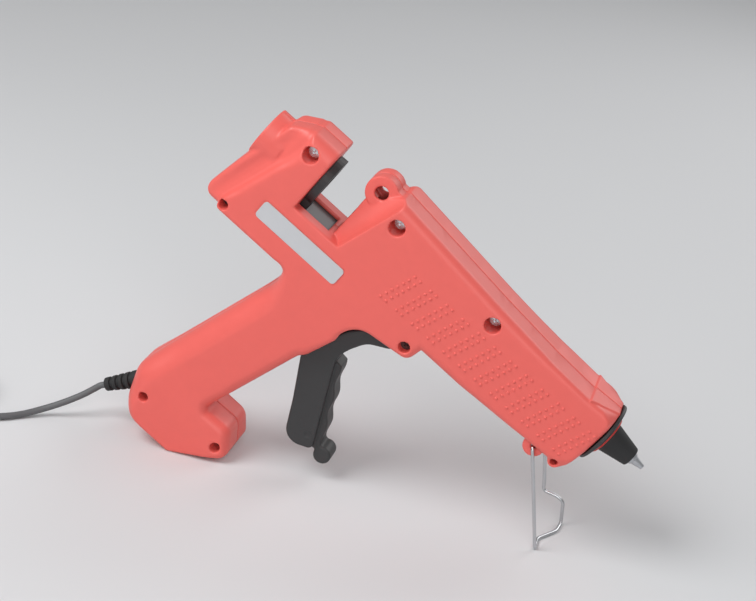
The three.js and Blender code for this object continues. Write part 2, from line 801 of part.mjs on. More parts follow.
function labelSlab(from, to, gap) {
  const [x, z] = [labelLength / 2 + gap, labelHeight / 2 + gap];
  const corners = [[-x, -z], [x, -z], [x, z], [-x, z]].map(([dx, dz]) => [labelX + dx, dz - labelDrop, labelRadius]);
  return slab(corners, from, to);
}

// The strain relief's axis, and a round bar along it measured from the butt's surface outwards.
const reliefMouth = point(reliefX, -reliefDrop);
const reliefAngle = Math.PI + (reliefSlope + barrelDrop) * degrees;
const reliefWay = point(Math.cos(reliefAngle), Math.sin(reliefAngle));

function reliefPoint(out) {
  return reliefMouth.clone().addScaledVector(reliefWay, out);
}

function reliefBar(from, to, radius, endRadius = radius, sides = recessSides) {
  const [start, end] = [from, to].map((out) => reliefPoint(out)).map((p) => new THREE.Vector3(p.x, 0, p.y));
  return strut(start, end, radius, endRadius, sides);
}

function makeRelief() {
  const bore = cordRadius + fit;
  const lip = reliefWideDiameter / 2;
  const tip = reliefNarrowDiameter / 2;
  const outer = (out) => lip + ((tip - lip) * Math.max(out, 0)) / reliefOutside;
  const neckEnd = -reliefInside - reliefNeck;
  const profile = [
    [neckEnd - reliefLip, bore],
    [neckEnd - reliefLip, lip - fit],
    [neckEnd, lip - fit],
    [neckEnd, reliefNeckDiameter / 2],
    [-reliefInside, reliefNeckDiameter / 2],
    [-reliefInside, lip],
  ];
  const pitch = reliefOutside / (reliefRibs + 1);
  for (let i = 1; i <= reliefRibs; i++) {
    const [rear, front] = [i * pitch - reliefRibDepth, i * pitch + reliefRibDepth];
    profile.push([rear, outer(rear)], [rear, outer(rear) - reliefRibDepth]);
    profile.push([front, outer(front) - reliefRibDepth], [front, outer(front)]);
  }
  profile.push([reliefOutside, tip], [reliefOutside, bore]);
  const turn = -reliefAngle / degrees;
  return turned(profile, recessSides).rotate([0, turn, 0]).translate([reliefMouth.x, 0, reliefMouth.y]);
}

// Trigger, drawn along its front edge from the top of the side plates
const triggerTop = point(triggerFrontX, -triggerFrontDrop);
const pull = (across, down) => along(triggerTop, -triggerSlope, across, down);
const pullCorner = (across, down, radius) => [...pull(across, down), radius];
const armLowerShares = [[0.02, -0.11], [0.14, -0.24], [0.29, -0.36], [0.52, -0.38]];
const armUpperShares = [[0.59, -0.64], [0.34, -0.55], [0.065, -0.43], [-0.16, -0.24], [-0.31, -0.06]];

function triggerOutline() {
  const share = ([across, down], radius) => pullCorner(across * triggerLength, down * triggerLength, radius);
  return [
    pullCorner(0, triggerLength, 3),
    ...armLowerShares.map((shares) => share(shares, 3)),
    [lug.x, lug.y - hubRadius, 0],
    [lug.x - hubRadius / 2, lug.y + hubRadius / 2, 0],
    ...armUpperShares.map((shares) => share(shares, 3)),
    pullCorner(-triggerDepth, triggerLength / 2, 5),
    pullCorner(-triggerDepth, triggerLength, 9),
  ];
}

function fingerOutline() {
  const corners = [pullCorner(-triggerWall, 0, 0), pullCorner(fingerRelief, -triggerWall, 0)];
  const steps = 6 * fingerCount;
  for (let i = 1; i <= steps - fingerCount; i++) {
    const down = (i * fingerPitch) / 6;
    const wave = fingerStand + fingerRelief * Math.cos(2 * Math.PI * ((down - fingerStand) / fingerPitch));
    corners.push(pullCorner(wave, down, 0));
  }
  corners.push(
    pullCorner(fingerStand + hookReach, triggerLength + hookLength / 2, 2),
    pullCorner(fingerStand + hookReach - fingerRelief, triggerLength + hookLength, 1.5),
    pullCorner(fingerStand, triggerLength + hookLength / 2, 4),
    pullCorner(-triggerWall, triggerLength, 0),
  );
  return corners;
}

function makeTrigger() {
  const half = triggerWidth / 2;
  const nose = point(noseX, -noseDrop);
  const hollow = [
    pullCorner(-triggerWall, -triggerLength / 3, 0),
    pullCorner(-triggerWall, triggerLength - triggerWall, 0),
    pullCorner(-2 * triggerDepth, triggerLength - triggerWall, 0),
    pullCorner(-2 * triggerDepth, -triggerLength, 0),
    pullCorner(triggerLength, -triggerLength, 0),
    pullCorner(triggerLength, -triggerLength / 3, 0),
  ];
  return cut(
    join(
      cut(slab(triggerOutline(), -half, half, triggerEdge), slabAcross(hollow, half - triggerWall)),
      pair((side) => bar(lug, hubRadius, ...between(side, half - triggerWall, half))),
      slab(fingerOutline(), -fingerPadWidth / 2, fingerPadWidth / 2, triggerEdge),
      link(nose, pull(-triggerWall, 0), noseRadius, -pusherWidth / 2, pusherWidth / 2),
    ),
    bar(lug, journalRadius + running, -bodyWidth, bodyWidth),
  ).asOriginal().simplify(smoothing);
}

// Feed lever, its pin, the slide with its pin, the clamp with its grip ring, and the return spring

function makeLever() {
  const half = leverThickness / 2;
  const flat = [-half, half];
  const toPin = slidePin.clone().sub(lever).normalize();
  const tip = lever.clone().addScaledVector(toPin, leverForkLength);
  const slotEnd = lever.clone().addScaledVector(toPin, leverForkLength - leverForkDepth);
  const slot = slidePinDiameter / 2 + running;
  const lowerWay = point(Math.cos(leverArmAngle * degrees), -Math.sin(leverArmAngle * degrees));
  const back = point(lowerWay.y, -lowerWay.x).multiplyScalar(leverArmOffset);
  const knee = lever.clone().add(back);
  return cut(
    join(
      bar(lever, leverHubRadius, ...flat),
      link(lever, tip, slot + leverForkWall, ...flat),
      link(lever, knee, leverArmWidth / 2, ...flat),
      link(knee, knee.clone().addScaledVector(lowerWay, leverArmLength), leverArmWidth / 2, ...flat),
    ),
    bar(lever, leverPinDiameter / 2 + running, -bodyWidth, bodyWidth),
    link(slotEnd, slotEnd.clone().addScaledVector(toPin, leverForkLength), slot, -bodyWidth, bodyWidth),
  );
}

function makeSlide() {
  const half = slideWidth / 2;
  const lugHalf = slideLugLength / 2;
  const lugFoot = slidePin.y - slidePinDiameter / 2 - slideLugThickness / 2;
  const inner = leverThickness / 2 + running;
  const stem = clampStemWidth / 2 + fit;
  const hook = point(clampFront + fit + slideLugThickness, -springDrop);
  return cut(
    join(
      block(clampRear, clampRear + slideLength, -half, half, slideBottom, slideTop),
      pair((side) => {
        const [near, far] = between(side, inner, inner + slideLugThickness);
        return block(slidePin.x - lugHalf, slidePin.x + lugHalf, near, far, lugFoot, slideTop);
      }),
      block(
        hook.x - slideLugThickness / 2, hook.x + slideLugThickness / 2,
        -leverThickness / 2, leverThickness / 2,
        hook.y - slideLugThickness / 2, slideTop,
      ),
    ),
    bar(slidePin, slidePinDiameter / 2 + fit, -bodyWidth, bodyWidth, smallSides),
    block(clampRear - overrun, clampFront + fit, -stem, stem, -bodyDepth, 0),
  );
}

function makeClamp() {
  const bore = gripRingDiameter / 2 - gripRingLip;
  const half = clampStemWidth / 2;
  const ringRear = (clampRear + clampFront - gripRingThickness) / 2;
  const foot = slideBottom - fit;
  return cut(
    join(
      rod(clampRear, clampFront, clampDiameter / 2, largeSides),
      block(clampRear, clampFront, -half, half, foot - clampFootHeight, 0),
      block(clampRear, clampFront + clampFootReach, -half, half, foot - clampFootHeight, foot),
    ),
    rod(clampRear - overrun, clampFront + overrun, bore),
    rod(ringRear - fit, ringRear + gripRingThickness + fit, gripRingDiameter / 2 + fit),
  );
}

function makeGripRing() {
  const ringRear = (clampRear + clampFront - gripRingThickness) / 2;
  return sleeve(ringRear, ringRear + gripRingThickness, guideBore / 2, gripRingDiameter / 2);
}

function makeSpring() {
  const steps = springStepsPerTurn * springTurns;
  const from = springAnchor.x + springPostRadius + springWire;
  const to = clampFront + fit + slideLugThickness / 2 - springWire / 2 - fit;
  const straight = 2 * springWire;
  const pitch = (to - from - 2 * straight) / springTurns;
  const points = [new THREE.Vector3(from, 0, -springDrop)];
  for (let i = 0; i <= steps; i++) {
    const turn = (2 * Math.PI * i) / springStepsPerTurn;
    const x = from + straight + (pitch * i) / springStepsPerTurn;
    points.push(new THREE.Vector3(x, springRadius * Math.sin(turn), springRadius * Math.cos(turn) - springDrop));
  }
  points.push(new THREE.Vector3(to, 0, -springDrop));
  return wire(points, springWire / 2, 5);
}

// Stick guide, melt chamber, supports, heater, nozzle and its rings

function makeGuide() {
  const outer = guideBore / 2 + guideWall;
  return sleeve(notchFront + guideStart, chamberRear + chamberSocket - fit, guideBore / 2, outer);
}

function makeChamber() {
  const [bore, thread] = [chamberBore / 2, nozzleThread / 2 + fit];
  const socket = chamberRear + chamberSocket;
  const threadRear = chamberFront - nozzleThreadLength - 2 * fit;
  const body = turned([
    [chamberRear, guideBore / 2 + guideWall + fit],
    [chamberRear, chamberDiameter / 2],
    [chamberFront, chamberDiameter / 2],
    [chamberFront, thread],
    [threadRear, thread],
    [threadRear - bore, bore],
    [socket, bore],
    [socket, guideBore / 2 + guideWall + fit],
  ]);
  const half = heaterWidth / 2;
  const [rear, front] = [supports[0] + supportThickness + 2 * ribThickness, supports[1] - supportThickness];
  const bottom = -heaterDrop - heaterThickness;
  const pocket = block(rear - overrun, front - heaterWall, -half - fit, half + fit, bottom - fit, fit - heaterDrop);
  const holder = block(
    rear, front, -half - fit - heaterWall, half + fit + heaterWall, bottom - fit - heaterWall, -chamberBore / 2,
  );
  const channel = rod(rear - overrun, threadRear, (chamberBore + chamberDiameter) / 4);
  return join(body, cut(holder, pocket, channel));
}

function makeHeater() {
  const rear = supports[0] + supportThickness + 2 * ribThickness + fit;
  return block(
    rear, rear + heaterLength, -heaterWidth / 2, heaterWidth / 2, -heaterDrop - heaterThickness, -heaterDrop,
  );
}

function makeSupport(middle) {
  const half = supportThickness / 2;
  return sleeve(middle - half, middle + half, chamberDiameter / 2 + fit, supportDiameter / 2);
}

function makeFrontRing() {
  const bore = nozzleDiameter / 2 + running;
  const neckRear = barrelFront - wall - fit;
  return turned([
    [neckRear - ringLipThickness, bore],
    [neckRear - ringLipThickness, ringLipDiameter / 2],
    [neckRear, ringLipDiameter / 2],
    [neckRear, ringNeckDiameter / 2],
    [ringRear, ringNeckDiameter / 2],
    [ringRear, ringDiameter / 2],
    [ringFront, ringDiameter / 2],
    [ringFront, bore],
  ], largeSides);
}

function makeNozzle() {
  const threadRear = chamberFront - nozzleThreadLength;
  return turned([
    [threadRear, tipBore],
    [threadRear, nozzleThread / 2],
    [chamberFront + fit, nozzleThread / 2],
    [chamberFront + fit, nozzleDiameter / 2],
    [coneFront, nozzleDiameter / 2],
    [coneFront, tipWideDiameter / 2],
    [coneFront + tipLength, tipNarrowDiameter / 2],
    [coneFront + tipLength, tipBore / 2],
    [coneFront, tipBore / 2],
  ]);
}

function makeCone() {
  return turned([
    [coneRear, nozzleDiameter / 2 + fit],
    [coneRear, coneWideDiameter / 2],
    [coneFront, coneNarrowDiameter / 2],
    [coneFront, nozzleDiameter / 2 + fit / 2],
  ]);
}

function makeSealRing() {
  const rear = ringFront + fit;
  return sleeve(rear, rear + redRingThickness, nozzleDiameter / 2 + running, redRingDiameter / 2);
}

// Terminal block, leads, cord clamp and the cord's inner end, in the grip
function makeInnerCord() {
  const at = (p) => new THREE.Vector3(p.x, 0, p.y);
  const points = [
    at(reliefPoint(reliefOutside)),
    at(reliefPoint(-reliefInside - reliefNeck - reliefLip - cordRadius)),
    at(grip(clampAcross - cordDiameter, clampDown + terminalLength)),
    at(grip(clampAcross, clampDown + clampPlateWidth)),
    at(grip(clampAcross, terminalDown + terminalLength + fit)),
  ];
  return wire(bend(points, 2 * cordDiameter), cordRadius, 8);
}

function gripBlock(across, y, down, [width, thickness, length]) {
  const box = new THREE.BoxGeometry(width, thickness, length);
  const at = grip(across, down);
  return solidOf(box.rotateY(gripRake * degrees).translate(at.x, y, at.y));
}

function makeTerminals() {
  const middle = terminalDown + terminalLength / 2;
  const screwHole = (side) => bar(grip(clampAcross + side * terminalDepth / 4, middle), screwDiameter / 2, -terminalWidth, 0);
  return cut(
    gripBlock(clampAcross, 0, middle, [terminalDepth, terminalWidth, terminalLength]),
    pair(screwHole),
  );
}

function makeClampPlate() {
  const y = -cordRadius - fit - clampPlateThickness / 2;
  return cut(
    gripBlock(clampAcross, y, clampDown, [clampPlateLength, clampPlateThickness, clampPlateWidth]),
    ...clampScrewPlaces.map((at) => bar(at, clampScrewDiameter / 2 + fit, -bodyWidth, 0, smallSides)),
  );
}

function makeClampScrew(at) {
  const seat = -cordRadius - clampPlateThickness - 2 * fit;
  return join(
    bar(at, clampScrewHead / 2, seat - clampPlateThickness / 2, seat, smallSides),
    bar(at, clampScrewDiameter / 2, seat, clampScrewTip, smallSides),
  );
}

function makeLead(side) {
  const y = (side * leadSpan) / 2;
  const start = grip(clampAcross, terminalDown - fit);
  const at = (p, across) => new THREE.Vector3(p.x, across, p.y);
  const heaterRear = supports[0] + supportThickness + 2 * ribThickness;
  const points = [
    at(start, (side * terminalWidth) / 4),
    at(grip(clampAcross, terminalDown - 2 * leadDiameter), (side * terminalWidth) / 4),
    at(grip(clampAcross, terminalDown - terminalLength), y),
    at(grip(leadAcross, leverHubRadius), y),
    at(point(archX, -barrelRearDepth), y),
    at(point(lug.x, -leadDrop), y),
    at(point(screws.barrel_screw.at.x, -leadDrop), y),
    at(point(supports[0] - supportThickness, -leadDrop), (side * supportThickness) / 2),
    at(point(heaterRear - 2 * leadDiameter, -leadDrop), (side * supportThickness) / 2),
    at(point(heaterRear - leadDiameter / 2, -heaterDrop - heaterThickness / 2), (side * supportThickness) / 2),
    at(point(heaterRear, -heaterDrop - heaterThickness / 2), (side * supportThickness) / 2),
  ];
  return wire(bend(points, 2 * leadDiameter), leadDiameter / 2, 6);
}

function screwSolid({ at, seat }) {
  const head = screwHeadDiameter / 2;
  const slotHalf = slotDepth / 2;
  const top = -seat - screwHeadHeight;
  return cut(
    join(bar(at, head, top, -seat), bar(at, screwDiameter / 2, -seat, screwLength - seat, smallSides)),
    block(at.x - head / 2, at.x + head / 2, top - overrun, top + slotDepth, at.y - slotHalf, at.y + slotHalf),
    block(at.x - slotHalf, at.x + slotHalf, top - overrun, top + slotDepth, at.y - head / 2, at.y + head / 2),
  );
}

// Wire stand, in the floor's axes: a leg beside each ear, and a foot loop that lies on the floor
function makeStand() {
  const radius = wireDiameter / 2;
  const pivot = onFloor(ear);
  const span = standSpan / 2;
  const legX = (z) => pivot.x + (pivot.z - z) * Math.tan(legLean * degrees);
  const hook = span - pivotHook;
  const at = (x, y, z) => new THREE.Vector3(x, y, z);
  const points = [
    at(pivot.x, -hook, pivot.z),
    at(pivot.x, -span, pivot.z),
    at(legX(radius), -span - standSplay, radius),
    at(legX(radius) - standSplay, -standSplay, radius),
    at(legX(radius) + standToe, span, radius),
    at(legX(radius) + standToe + standSplay, span, standHeel),
    at(legX(standStep), span, standStep),
    at(pivot.x, span, pivot.z),
    at(pivot.x, hook, pivot.z),
  ];
  return wire(bend(points, standBend), radius, 8);
}

// Cord, in the floor's axes: from the relief's tip down to the floor and into a round coil of four layers

function cordEnds() {
  const mouth = onFloor(reliefPoint(reliefOutside + fit));
  const start = onFloor(reliefPoint(reliefOutside + fit + cordDiameter));
  return [mouth, start];
}

const coilCentre = point(-coilAway, -coilAside);
const coilWay = coilHeading * degrees;

function coilPath() {
  const period = coilTurns + coilStepUp;
  const turns = coilLayers * period - coilStepUp;
  const count = Math.round(turns * coilSteps);
  const half = (coilTurns * coilPitch) / 2;
  const path = [];
  for (let i = 0; i <= count; i++) {
    const turn = (turns * i) / count;
    const layer = Math.min(Math.floor(turn / period), coilLayers - 1);
    const within = turn - layer * period;
    const climb = Math.min(Math.max((within - coilTurns) / coilStepUp, 0), 1);
    const outward = half - Math.min(within, coilTurns) * coilPitch;
    const radius = coilRadius + (layer % 2 ? -outward : outward);
    const angle = coilWay - 2 * Math.PI * turn;
    path.push(new THREE.Vector3(
      coilCentre.x + radius * Math.cos(angle),
      coilCentre.y + radius * Math.sin(angle),
      coilLift + cordRadius + coilPitch * (layer + climb),
    ));
  }
  return path;
}

function coilTail(path) {
  const [before, last] = path.slice(-2);
  const way = last.clone().sub(before).setZ(0).normalize();
  const level = last.clone().addScaledVector(way, tailLevel);
  const down = level.clone().addScaledVector(way, tailDescent).setZ(cordRadius + fit);
  const end = down.clone().addScaledVector(way, tailEnd);
  return bend([last, level, down, end], tailBend).slice(1);
}

function freePath(coilStart, coilNext) {
  const [mouth, start] = cordEnds();
  const way = coilNext.clone().sub(coilStart).setZ(0).normalize();
  const before = coilStart.clone().addScaledVector(way, -cordDiameter);
  const middle = cordRunShares.map(([away, aside, up]) => new THREE.Vector3(
    start.x + (coilStart.x - start.x) * away,
    coilStart.y * aside,
    cordRadius + fit + start.z * up,
  ));
  const curve = new THREE.CatmullRomCurve3([start, ...middle, before]);
  const end = coilStart.clone().addScaledVector(way, -fit);
  return [mouth, ...curve.getPoints(cordSteps), end];
}

// The least clear distance between two turns of the coil
function coilGap(path) {
  let least = Infinity;
  path.forEach((p, i) => {
    for (let j = i + coilSteps / 2; j < path.length; j++) least = Math.min(least, p.distanceTo(path[j]));
  });
  return least - cordDiameter;
}

// The tie is a loop round the turns on the far side of the coil.
function makeTie(path) {
  const held = path.filter((p) => p.y > coilCentre.y && Math.abs(p.x - coilCentre.x) < tieWidth);
  const reach = cordRadius + fit;
  const near = Math.min(...held.map((p) => p.y)) - reach;
  const far = Math.max(...held.map((p) => p.y)) + reach;
  const top = Math.max(...held.map((p) => p.z)) + reach;
  const frame = (half, grow) => block(
    coilCentre.x - half, coilCentre.x + half,
    near - grow, far + grow,
    tieThickness - grow, top + grow,
  );
  return cut(frame(tieWidth / 2, tieThickness), frame(tieWidth, 0));
}

function makePlug(path) {
  const [before, last] = path.slice(-2);
  const way = last.clone().sub(before);
  const heading = Math.atan2(way.y, way.x) / degrees;
  const half = plugWidth / 2;
  const outline = plugShares.flatMap(([along, across]) => [[plugLength * along, half * across, 2]]);
  const mirrored = [...plugShares].reverse().map(([along, across]) => [plugLength * along, -half * across, 2]);
  const lie = (piece) => piece.rotate([90, 0, 0]).translate([fit, 0, plugHeight / 2]).rotate([0, 0, heading])
    .translate([last.x, last.y, 0]);
  const body = slab([...outline, ...mirrored], -plugHeight / 2, plugHeight / 2, 2);
  const pin = (side) => {
    const at = (x) => new THREE.Vector3(x, 0, (side * plugPinSpan) / 2);
    return strut(at(plugLength + fit / 3), at(plugLength + plugPinLength), plugPinDiameter / 2, plugPinDiameter / 2);
  };
  return [lie(body), lie(pin(-1)), lie(pin(1))];
}

// Materials and the assembly

const materials = {
  redPlastic: new THREE.MeshStandardMaterial({ color: 0xe8665e, roughness: 0.4 }),
  blackPlastic: new THREE.MeshStandardMaterial({ color: 0x1c1c1e, roughness: 0.5 }),
  rubber: new THREE.MeshStandardMaterial({ color: 0x202022, roughness: 0.8 }),
  redRubber: new THREE.MeshStandardMaterial({ color: 0xb8322c, roughness: 0.7 }),
  greyPlastic: new THREE.MeshStandardMaterial({ color: 0x9a9da0, roughness: 0.5 }),
  steel: new THREE.MeshStandardMaterial({ color: 0xb9bcc0, roughness: 0.3, metalness: 1 }),
  aluminium: new THREE.MeshStandardMaterial({ color: 0xc8cbce, roughness: 0.4, metalness: 1 }),
  brass: new THREE.MeshStandardMaterial({ color: 0xc9a24a, roughness: 0.35, metalness: 1 }),
  ceramic: new THREE.MeshStandardMaterial({ color: 0xe6e2d8, roughness: 0.6 }),
  label: new THREE.MeshStandardMaterial({ color: 0xc7c9cc, roughness: 0.35, metalness: 0.6 }),
};

function geometryOf(solid) {
  const made = solid.getMesh();
  const positions = new Float32Array(made.numVert * 3);
  for (let i = 0; i < made.numVert; i++) {
    positions.set(made.vertProperties.subarray(i * made.numProp, i * made.numProp + 3), i * 3);
  }
  const geometry = new THREE.BufferGeometry();
  geometry.setAttribute("position", new THREE.BufferAttribute(positions, 3));
  geometry.setIndex(new THREE.BufferAttribute(made.triVerts, 1));
  geometry.computeVertexNormals();
  return geometry;
}

function addTo(parent, name, solid, material) {
  const mesh = new THREE.Mesh(geometryOf(solid), material);
  mesh.name = name;
  parent.add(mesh);
}

const [nearHousing, farHousing] = makeHousing();
const coil = coilPath();
const tail = coilTail(coil);
const [plug, plugPinLeft, plugPinRight] = makePlug(tail);

const gun = new THREE.Group();
const gunPieces = [
  ["left_housing", nearHousing, materials.redPlastic],
  ["right_housing", farHousing, materials.redPlastic],
  ...Object.entries(screws).map(([name, screw]) => [name, screwSolid(screw), materials.steel]),
  ["trigger", makeTrigger(), materials.blackPlastic],
  ["feed_lever", makeLever(), materials.greyPlastic],
  ["lever_pin", bar(lever, leverPinDiameter / 2, -leverPinHalf, leverPinHalf, smallSides), materials.steel],
  ["feed_slide", makeSlide(), materials.greyPlastic],
  ["slide_pin", bar(slidePin, slidePinDiameter / 2, -slidePinHalf, slidePinHalf, smallSides), materials.steel],
  ["feed_clamp", makeClamp(), materials.blackPlastic],
  ["clamp_grip_ring", makeGripRing(), materials.rubber],
  ["return_spring", makeSpring(), materials.steel],
  ["stick_guide", makeGuide(), materials.greyPlastic],
  ["melt_chamber", makeChamber(), materials.aluminium],
  ["heater", makeHeater(), materials.ceramic],
  ["rear_support", makeSupport(supports[0]), materials.ceramic],
  ["front_support", makeSupport(supports[1]), materials.ceramic],
  ["front_ring", makeFrontRing(), materials.blackPlastic],
  ["red_seal_ring", makeSealRing(), materials.redRubber],
  ["nozzle", makeNozzle(), materials.brass],
  ["nozzle_sleeve", makeCone(), materials.rubber],
  ["label_plate", labelSlab(-bodyHalf - fit, -bodyHalf + labelThickness - fit, 0), materials.label],
  ["terminal_block", makeTerminals(), materials.ceramic],
  ["live_lead", makeLead(-1), materials.redRubber],
  ["neutral_lead", makeLead(1), materials.greyPlastic],
  ["cord_clamp", makeClampPlate(), materials.blackPlastic],
  ["clamp_screw_rear", makeClampScrew(clampScrewPlaces[0]), materials.steel],
  ["clamp_screw_front", makeClampScrew(clampScrewPlaces[1]), materials.steel],
  ["strain_relief", makeRelief(), materials.greyPlastic],
  ["inner_cord", makeInnerCord(), materials.greyPlastic],
];
for (const [name, solid, material] of gunPieces) addTo(gun, name, solid, material);
gun.rotation.y = drop;
gun.position.z = -sole;

const floor = new THREE.Group();
addTo(floor, "wire_stand", makeStand(), materials.steel);

// The origin is under the middle of the gun and its stand, without the cord and its relief.
const cordLike = ["strain_relief", "inner_cord"];
const box = new THREE.Box3();
for (const group of [gun, floor]) {
  group.updateMatrixWorld(true);
  for (const mesh of group.children) if (!cordLike.includes(mesh.name)) box.expandByObject(mesh, true);
}

const cordPath = freePath(coil[0], coil[1]);
addTo(floor, "cord", wire(cordPath, cordRadius, 8), materials.greyPlastic);
addTo(floor, "cord_coil", wire([...coil, ...tail], cordRadius, 6), materials.greyPlastic);
addTo(floor, "cord_tie", makeTie(coil), materials.blackPlastic);
addTo(floor, "plug", plug, materials.greyPlastic);
addTo(floor, "plug_pin_left", plugPinLeft, materials.brass);
addTo(floor, "plug_pin_right", plugPinRight, materials.brass);
console.log("least gap in the coil " + coilGap(coil).toFixed(2) + " mm");
const run = [...cordPath, ...coil, ...tail];
const length = run.reduce((sum, p, i) => sum + (i ? p.distanceTo(run[i - 1]) : 0), 0);
console.log("cord from the strain relief to the plug " + length.toFixed(0) + " mm");

const group = new THREE.Group();
group.add(gun, floor);
group.position.x = -(box.min.x + box.max.x) / 2;
export default group;
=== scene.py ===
"""Looks of a hot glue applicator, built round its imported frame.

Shapes are drawn in millimetres in the gun's own axes: x forward along the glue stick, z up across it
and y across the gun, with y = 0 on the seam and the near half at negative y. in_frame() turns them
into the frame's metres.
"""

import math

import bpy
import numpy as np
from mathutils import Matrix, Vector


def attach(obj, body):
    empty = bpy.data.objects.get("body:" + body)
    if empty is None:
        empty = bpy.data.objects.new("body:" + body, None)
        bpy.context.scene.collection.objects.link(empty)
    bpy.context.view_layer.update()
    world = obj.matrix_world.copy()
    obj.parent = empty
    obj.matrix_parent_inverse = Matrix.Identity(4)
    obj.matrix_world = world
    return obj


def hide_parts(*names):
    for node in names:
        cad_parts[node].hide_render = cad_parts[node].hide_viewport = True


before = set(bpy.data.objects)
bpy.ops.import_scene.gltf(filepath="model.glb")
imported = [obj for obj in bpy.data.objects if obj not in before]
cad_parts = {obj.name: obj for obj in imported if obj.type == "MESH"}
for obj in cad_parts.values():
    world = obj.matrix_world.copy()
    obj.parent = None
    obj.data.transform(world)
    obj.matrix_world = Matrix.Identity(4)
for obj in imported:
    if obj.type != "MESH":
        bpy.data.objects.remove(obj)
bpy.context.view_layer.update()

MM = 0.001
DROP = math.radians(31)  # of the barrel's front below level
GUN_ORIGIN = (-0.0871762, 0, 0.1908657)  # of the gun's axes, in the frame's metres

# Camera, lights and stage, in metres
CAMERA_PLACE = (0.14776, -0.77665, 0.44987)
CAMERA_AZIMUTH = math.radians(11.7)
CAMERA_ELEVATION = math.radians(23.2)
CAMERA_ROLL = math.radians(9.4)
CAMERA_LENS = 78.57  # on a sensor 36 wide
STAGE_SIZE = 8
WORLD_LIGHT = 0.33
LAMPS = {
    # name: place, size, watts
    "key_lamp": ((-0.75, -0.55, 1.15), 0.9, 13),
    "front_lamp": ((0.45, -1.5, 0.85), 1.2, 8.6),
    "back_lamp": ((0.7, 1.1, 0.9), 1.0, 6),
}
LAMP_AIM = (-0.02, 0, 0.08)

# Cells of the sampled fields
HULL_CELL = 0.7
TRIGGER_CELL = 0.45
HULL_KEEP = 0.4  # share of the faces that stay
TRIGGER_KEEP = 0.5
CORNER_STEPS = 8

# Housing
WALL = 2.4
SEAM = 0.15  # from the middle to each half
BODY_HALF = 18.5
BODY_EDGE = 4.5
HEAD_EDGE = 8.5
HEAD_EDGE_RISE = (-8, 10)  # in height, where the edge grows
UNDER_EDGE = 2.5
UNDER_EDGE_FALL = (30, 40)
NOTCH_REAR = 41
NOTCH_FRONT = 64.5
NOTCH_FLOOR = -15.5
BARREL_FRONT = 235
BARREL_EDGE = 5.5
NOSE_EDGE = 3.5
NOSE_EDGE_WAY = (165, 205)
HEAD_TOP = 20.8
HEAD_REAR_TOP = 19.8
HEAD_REAR_HALF = 14.5
HEAD_REAR_EDGE = 5
FLANK_LINE = [(6.5, -52), (9.5, -39.6), (21.6, -0.3), (23.4, 20.8), (24.4, 33)]
GROOVE_RADIUS = 7
GROOVE_BEHIND = 6.4
GROOVE_MIDDLE = 19.8
COLLAR_RADIUS = 14.1
COLLAR_DROP = 2
COLLAR_REAR = 3.5
COLLAR_FRONT = 17.5
STICK_RADIUS = 6.4
STICK_BORE_FRONT = 69
SLOT_HALF = 10
SLOT_FRONT = 61.5
SLOT_FLOOR = -18.2
RIDGE_FOOT = 70.5
RIDGE_LEAN = math.radians(16)
RAMP_RADIUS = 14.6
RAMP_MIDDLE = 21.2
NOSE_RADIUS = 18
NOSE_TOP_SLOPE = 0.413
NOSE_UNDER_SLOPE = 5
NOSE_SLOPE_WAY = (5, 17)
NOSE_PAD_REAR = 217.2
NOSE_PAD_HALVES = (17.2, 7)  # at its rear and at the barrel's front
NOSE_PAD_TOPS = (16, 16.9)
NOSE_PAD_UNDER = 5
RING_NECK = 13.3  # radius of the barrel's mouth, round the front ring's neck
RING_NECK_REAR = 229
LUG = (130.7, -32.4)
EAR = (214.7, -26.5)
EAR_RADIUS = 5.8
EAR_OUTSIDE = 14.5
EAR_THICKNESS = 3.6
EAR_BORE = 1.45
EYELET = (69, 18.3)
EYELET_RADIUS = 9
EYELET_BORE = 3.7
EYELET_HALF = 8
EYELET_WEB = (80, 9.3, 25)  # its front, foot and top
NOSE_LOBE = (227.4, -24)
NOSE_LOBE_RADIUS = 3.5
NOSE_LOBE_FRONT = (229.5, -20)
NOSE_LOBE_HALF = 17
LABEL_MIDDLE = (55, -28)
LABEL_SIZE = (54, 10.4)
LABEL_RADIUS = 2
LABEL_DEPTH = 0.3
LABEL_GAP = 0.3  # round the plate in its pocket

# Radii of the housing's smaller edges and fillets
NOTCH_EDGE = 1.5
NOSE_CONE_EDGE = 1.5
RAMP_EDGE = 0.5
GROOVE_EDGE = 1.2
REAR_GROOVE_EDGE = 2
REAR_FILLET = 1.5
COLLAR_EDGE = 0.5
COLLAR_FILLET = 0.8
EYELET_EDGE = 0.6
EYELET_BORE_EDGE = 0.5
NOSE_LOBE_EDGE = 1
NOSE_LOBE_FILLET = 1.5
EAR_EDGE = 0.5
EAR_FILLET = 0.8
OPENING_EDGE = 0.3
RECESS_EDGE = 0.5
BORE_EDGE = 0.2

# Grip, in its own axes: across from its rear edge, and down along it
GRIP_ROOT = (61.4, -52.5)
GRIP_RAKE = math.radians(15.8)
GRIP_DEPTH = 39
GRIP_HALF = 17
GRIP_EDGE = 13
GRIP_FRONT_EDGE = 6
GRIP_FRONT_WAY = (8, 26)
GRIP_WAY = (-14, 22)  # down it, where the body goes over into the grip
GRIP_REAR_WAY = (-14, -2)
FOOT_HALF = 20
FOOT_EDGE = 2
FOOT_WAY = (76, 100)
FOOT_REAR_WAY = (14, 30)
GRIP_FILLET = 7


def grip(across, down):
    """A point of the side view, given along and across the grip."""
    s, c = math.sin(GRIP_RAKE), math.cos(GRIP_RAKE)
    return GRIP_ROOT[0] + across * c - down * s, GRIP_ROOT[1] - across * s - down * c


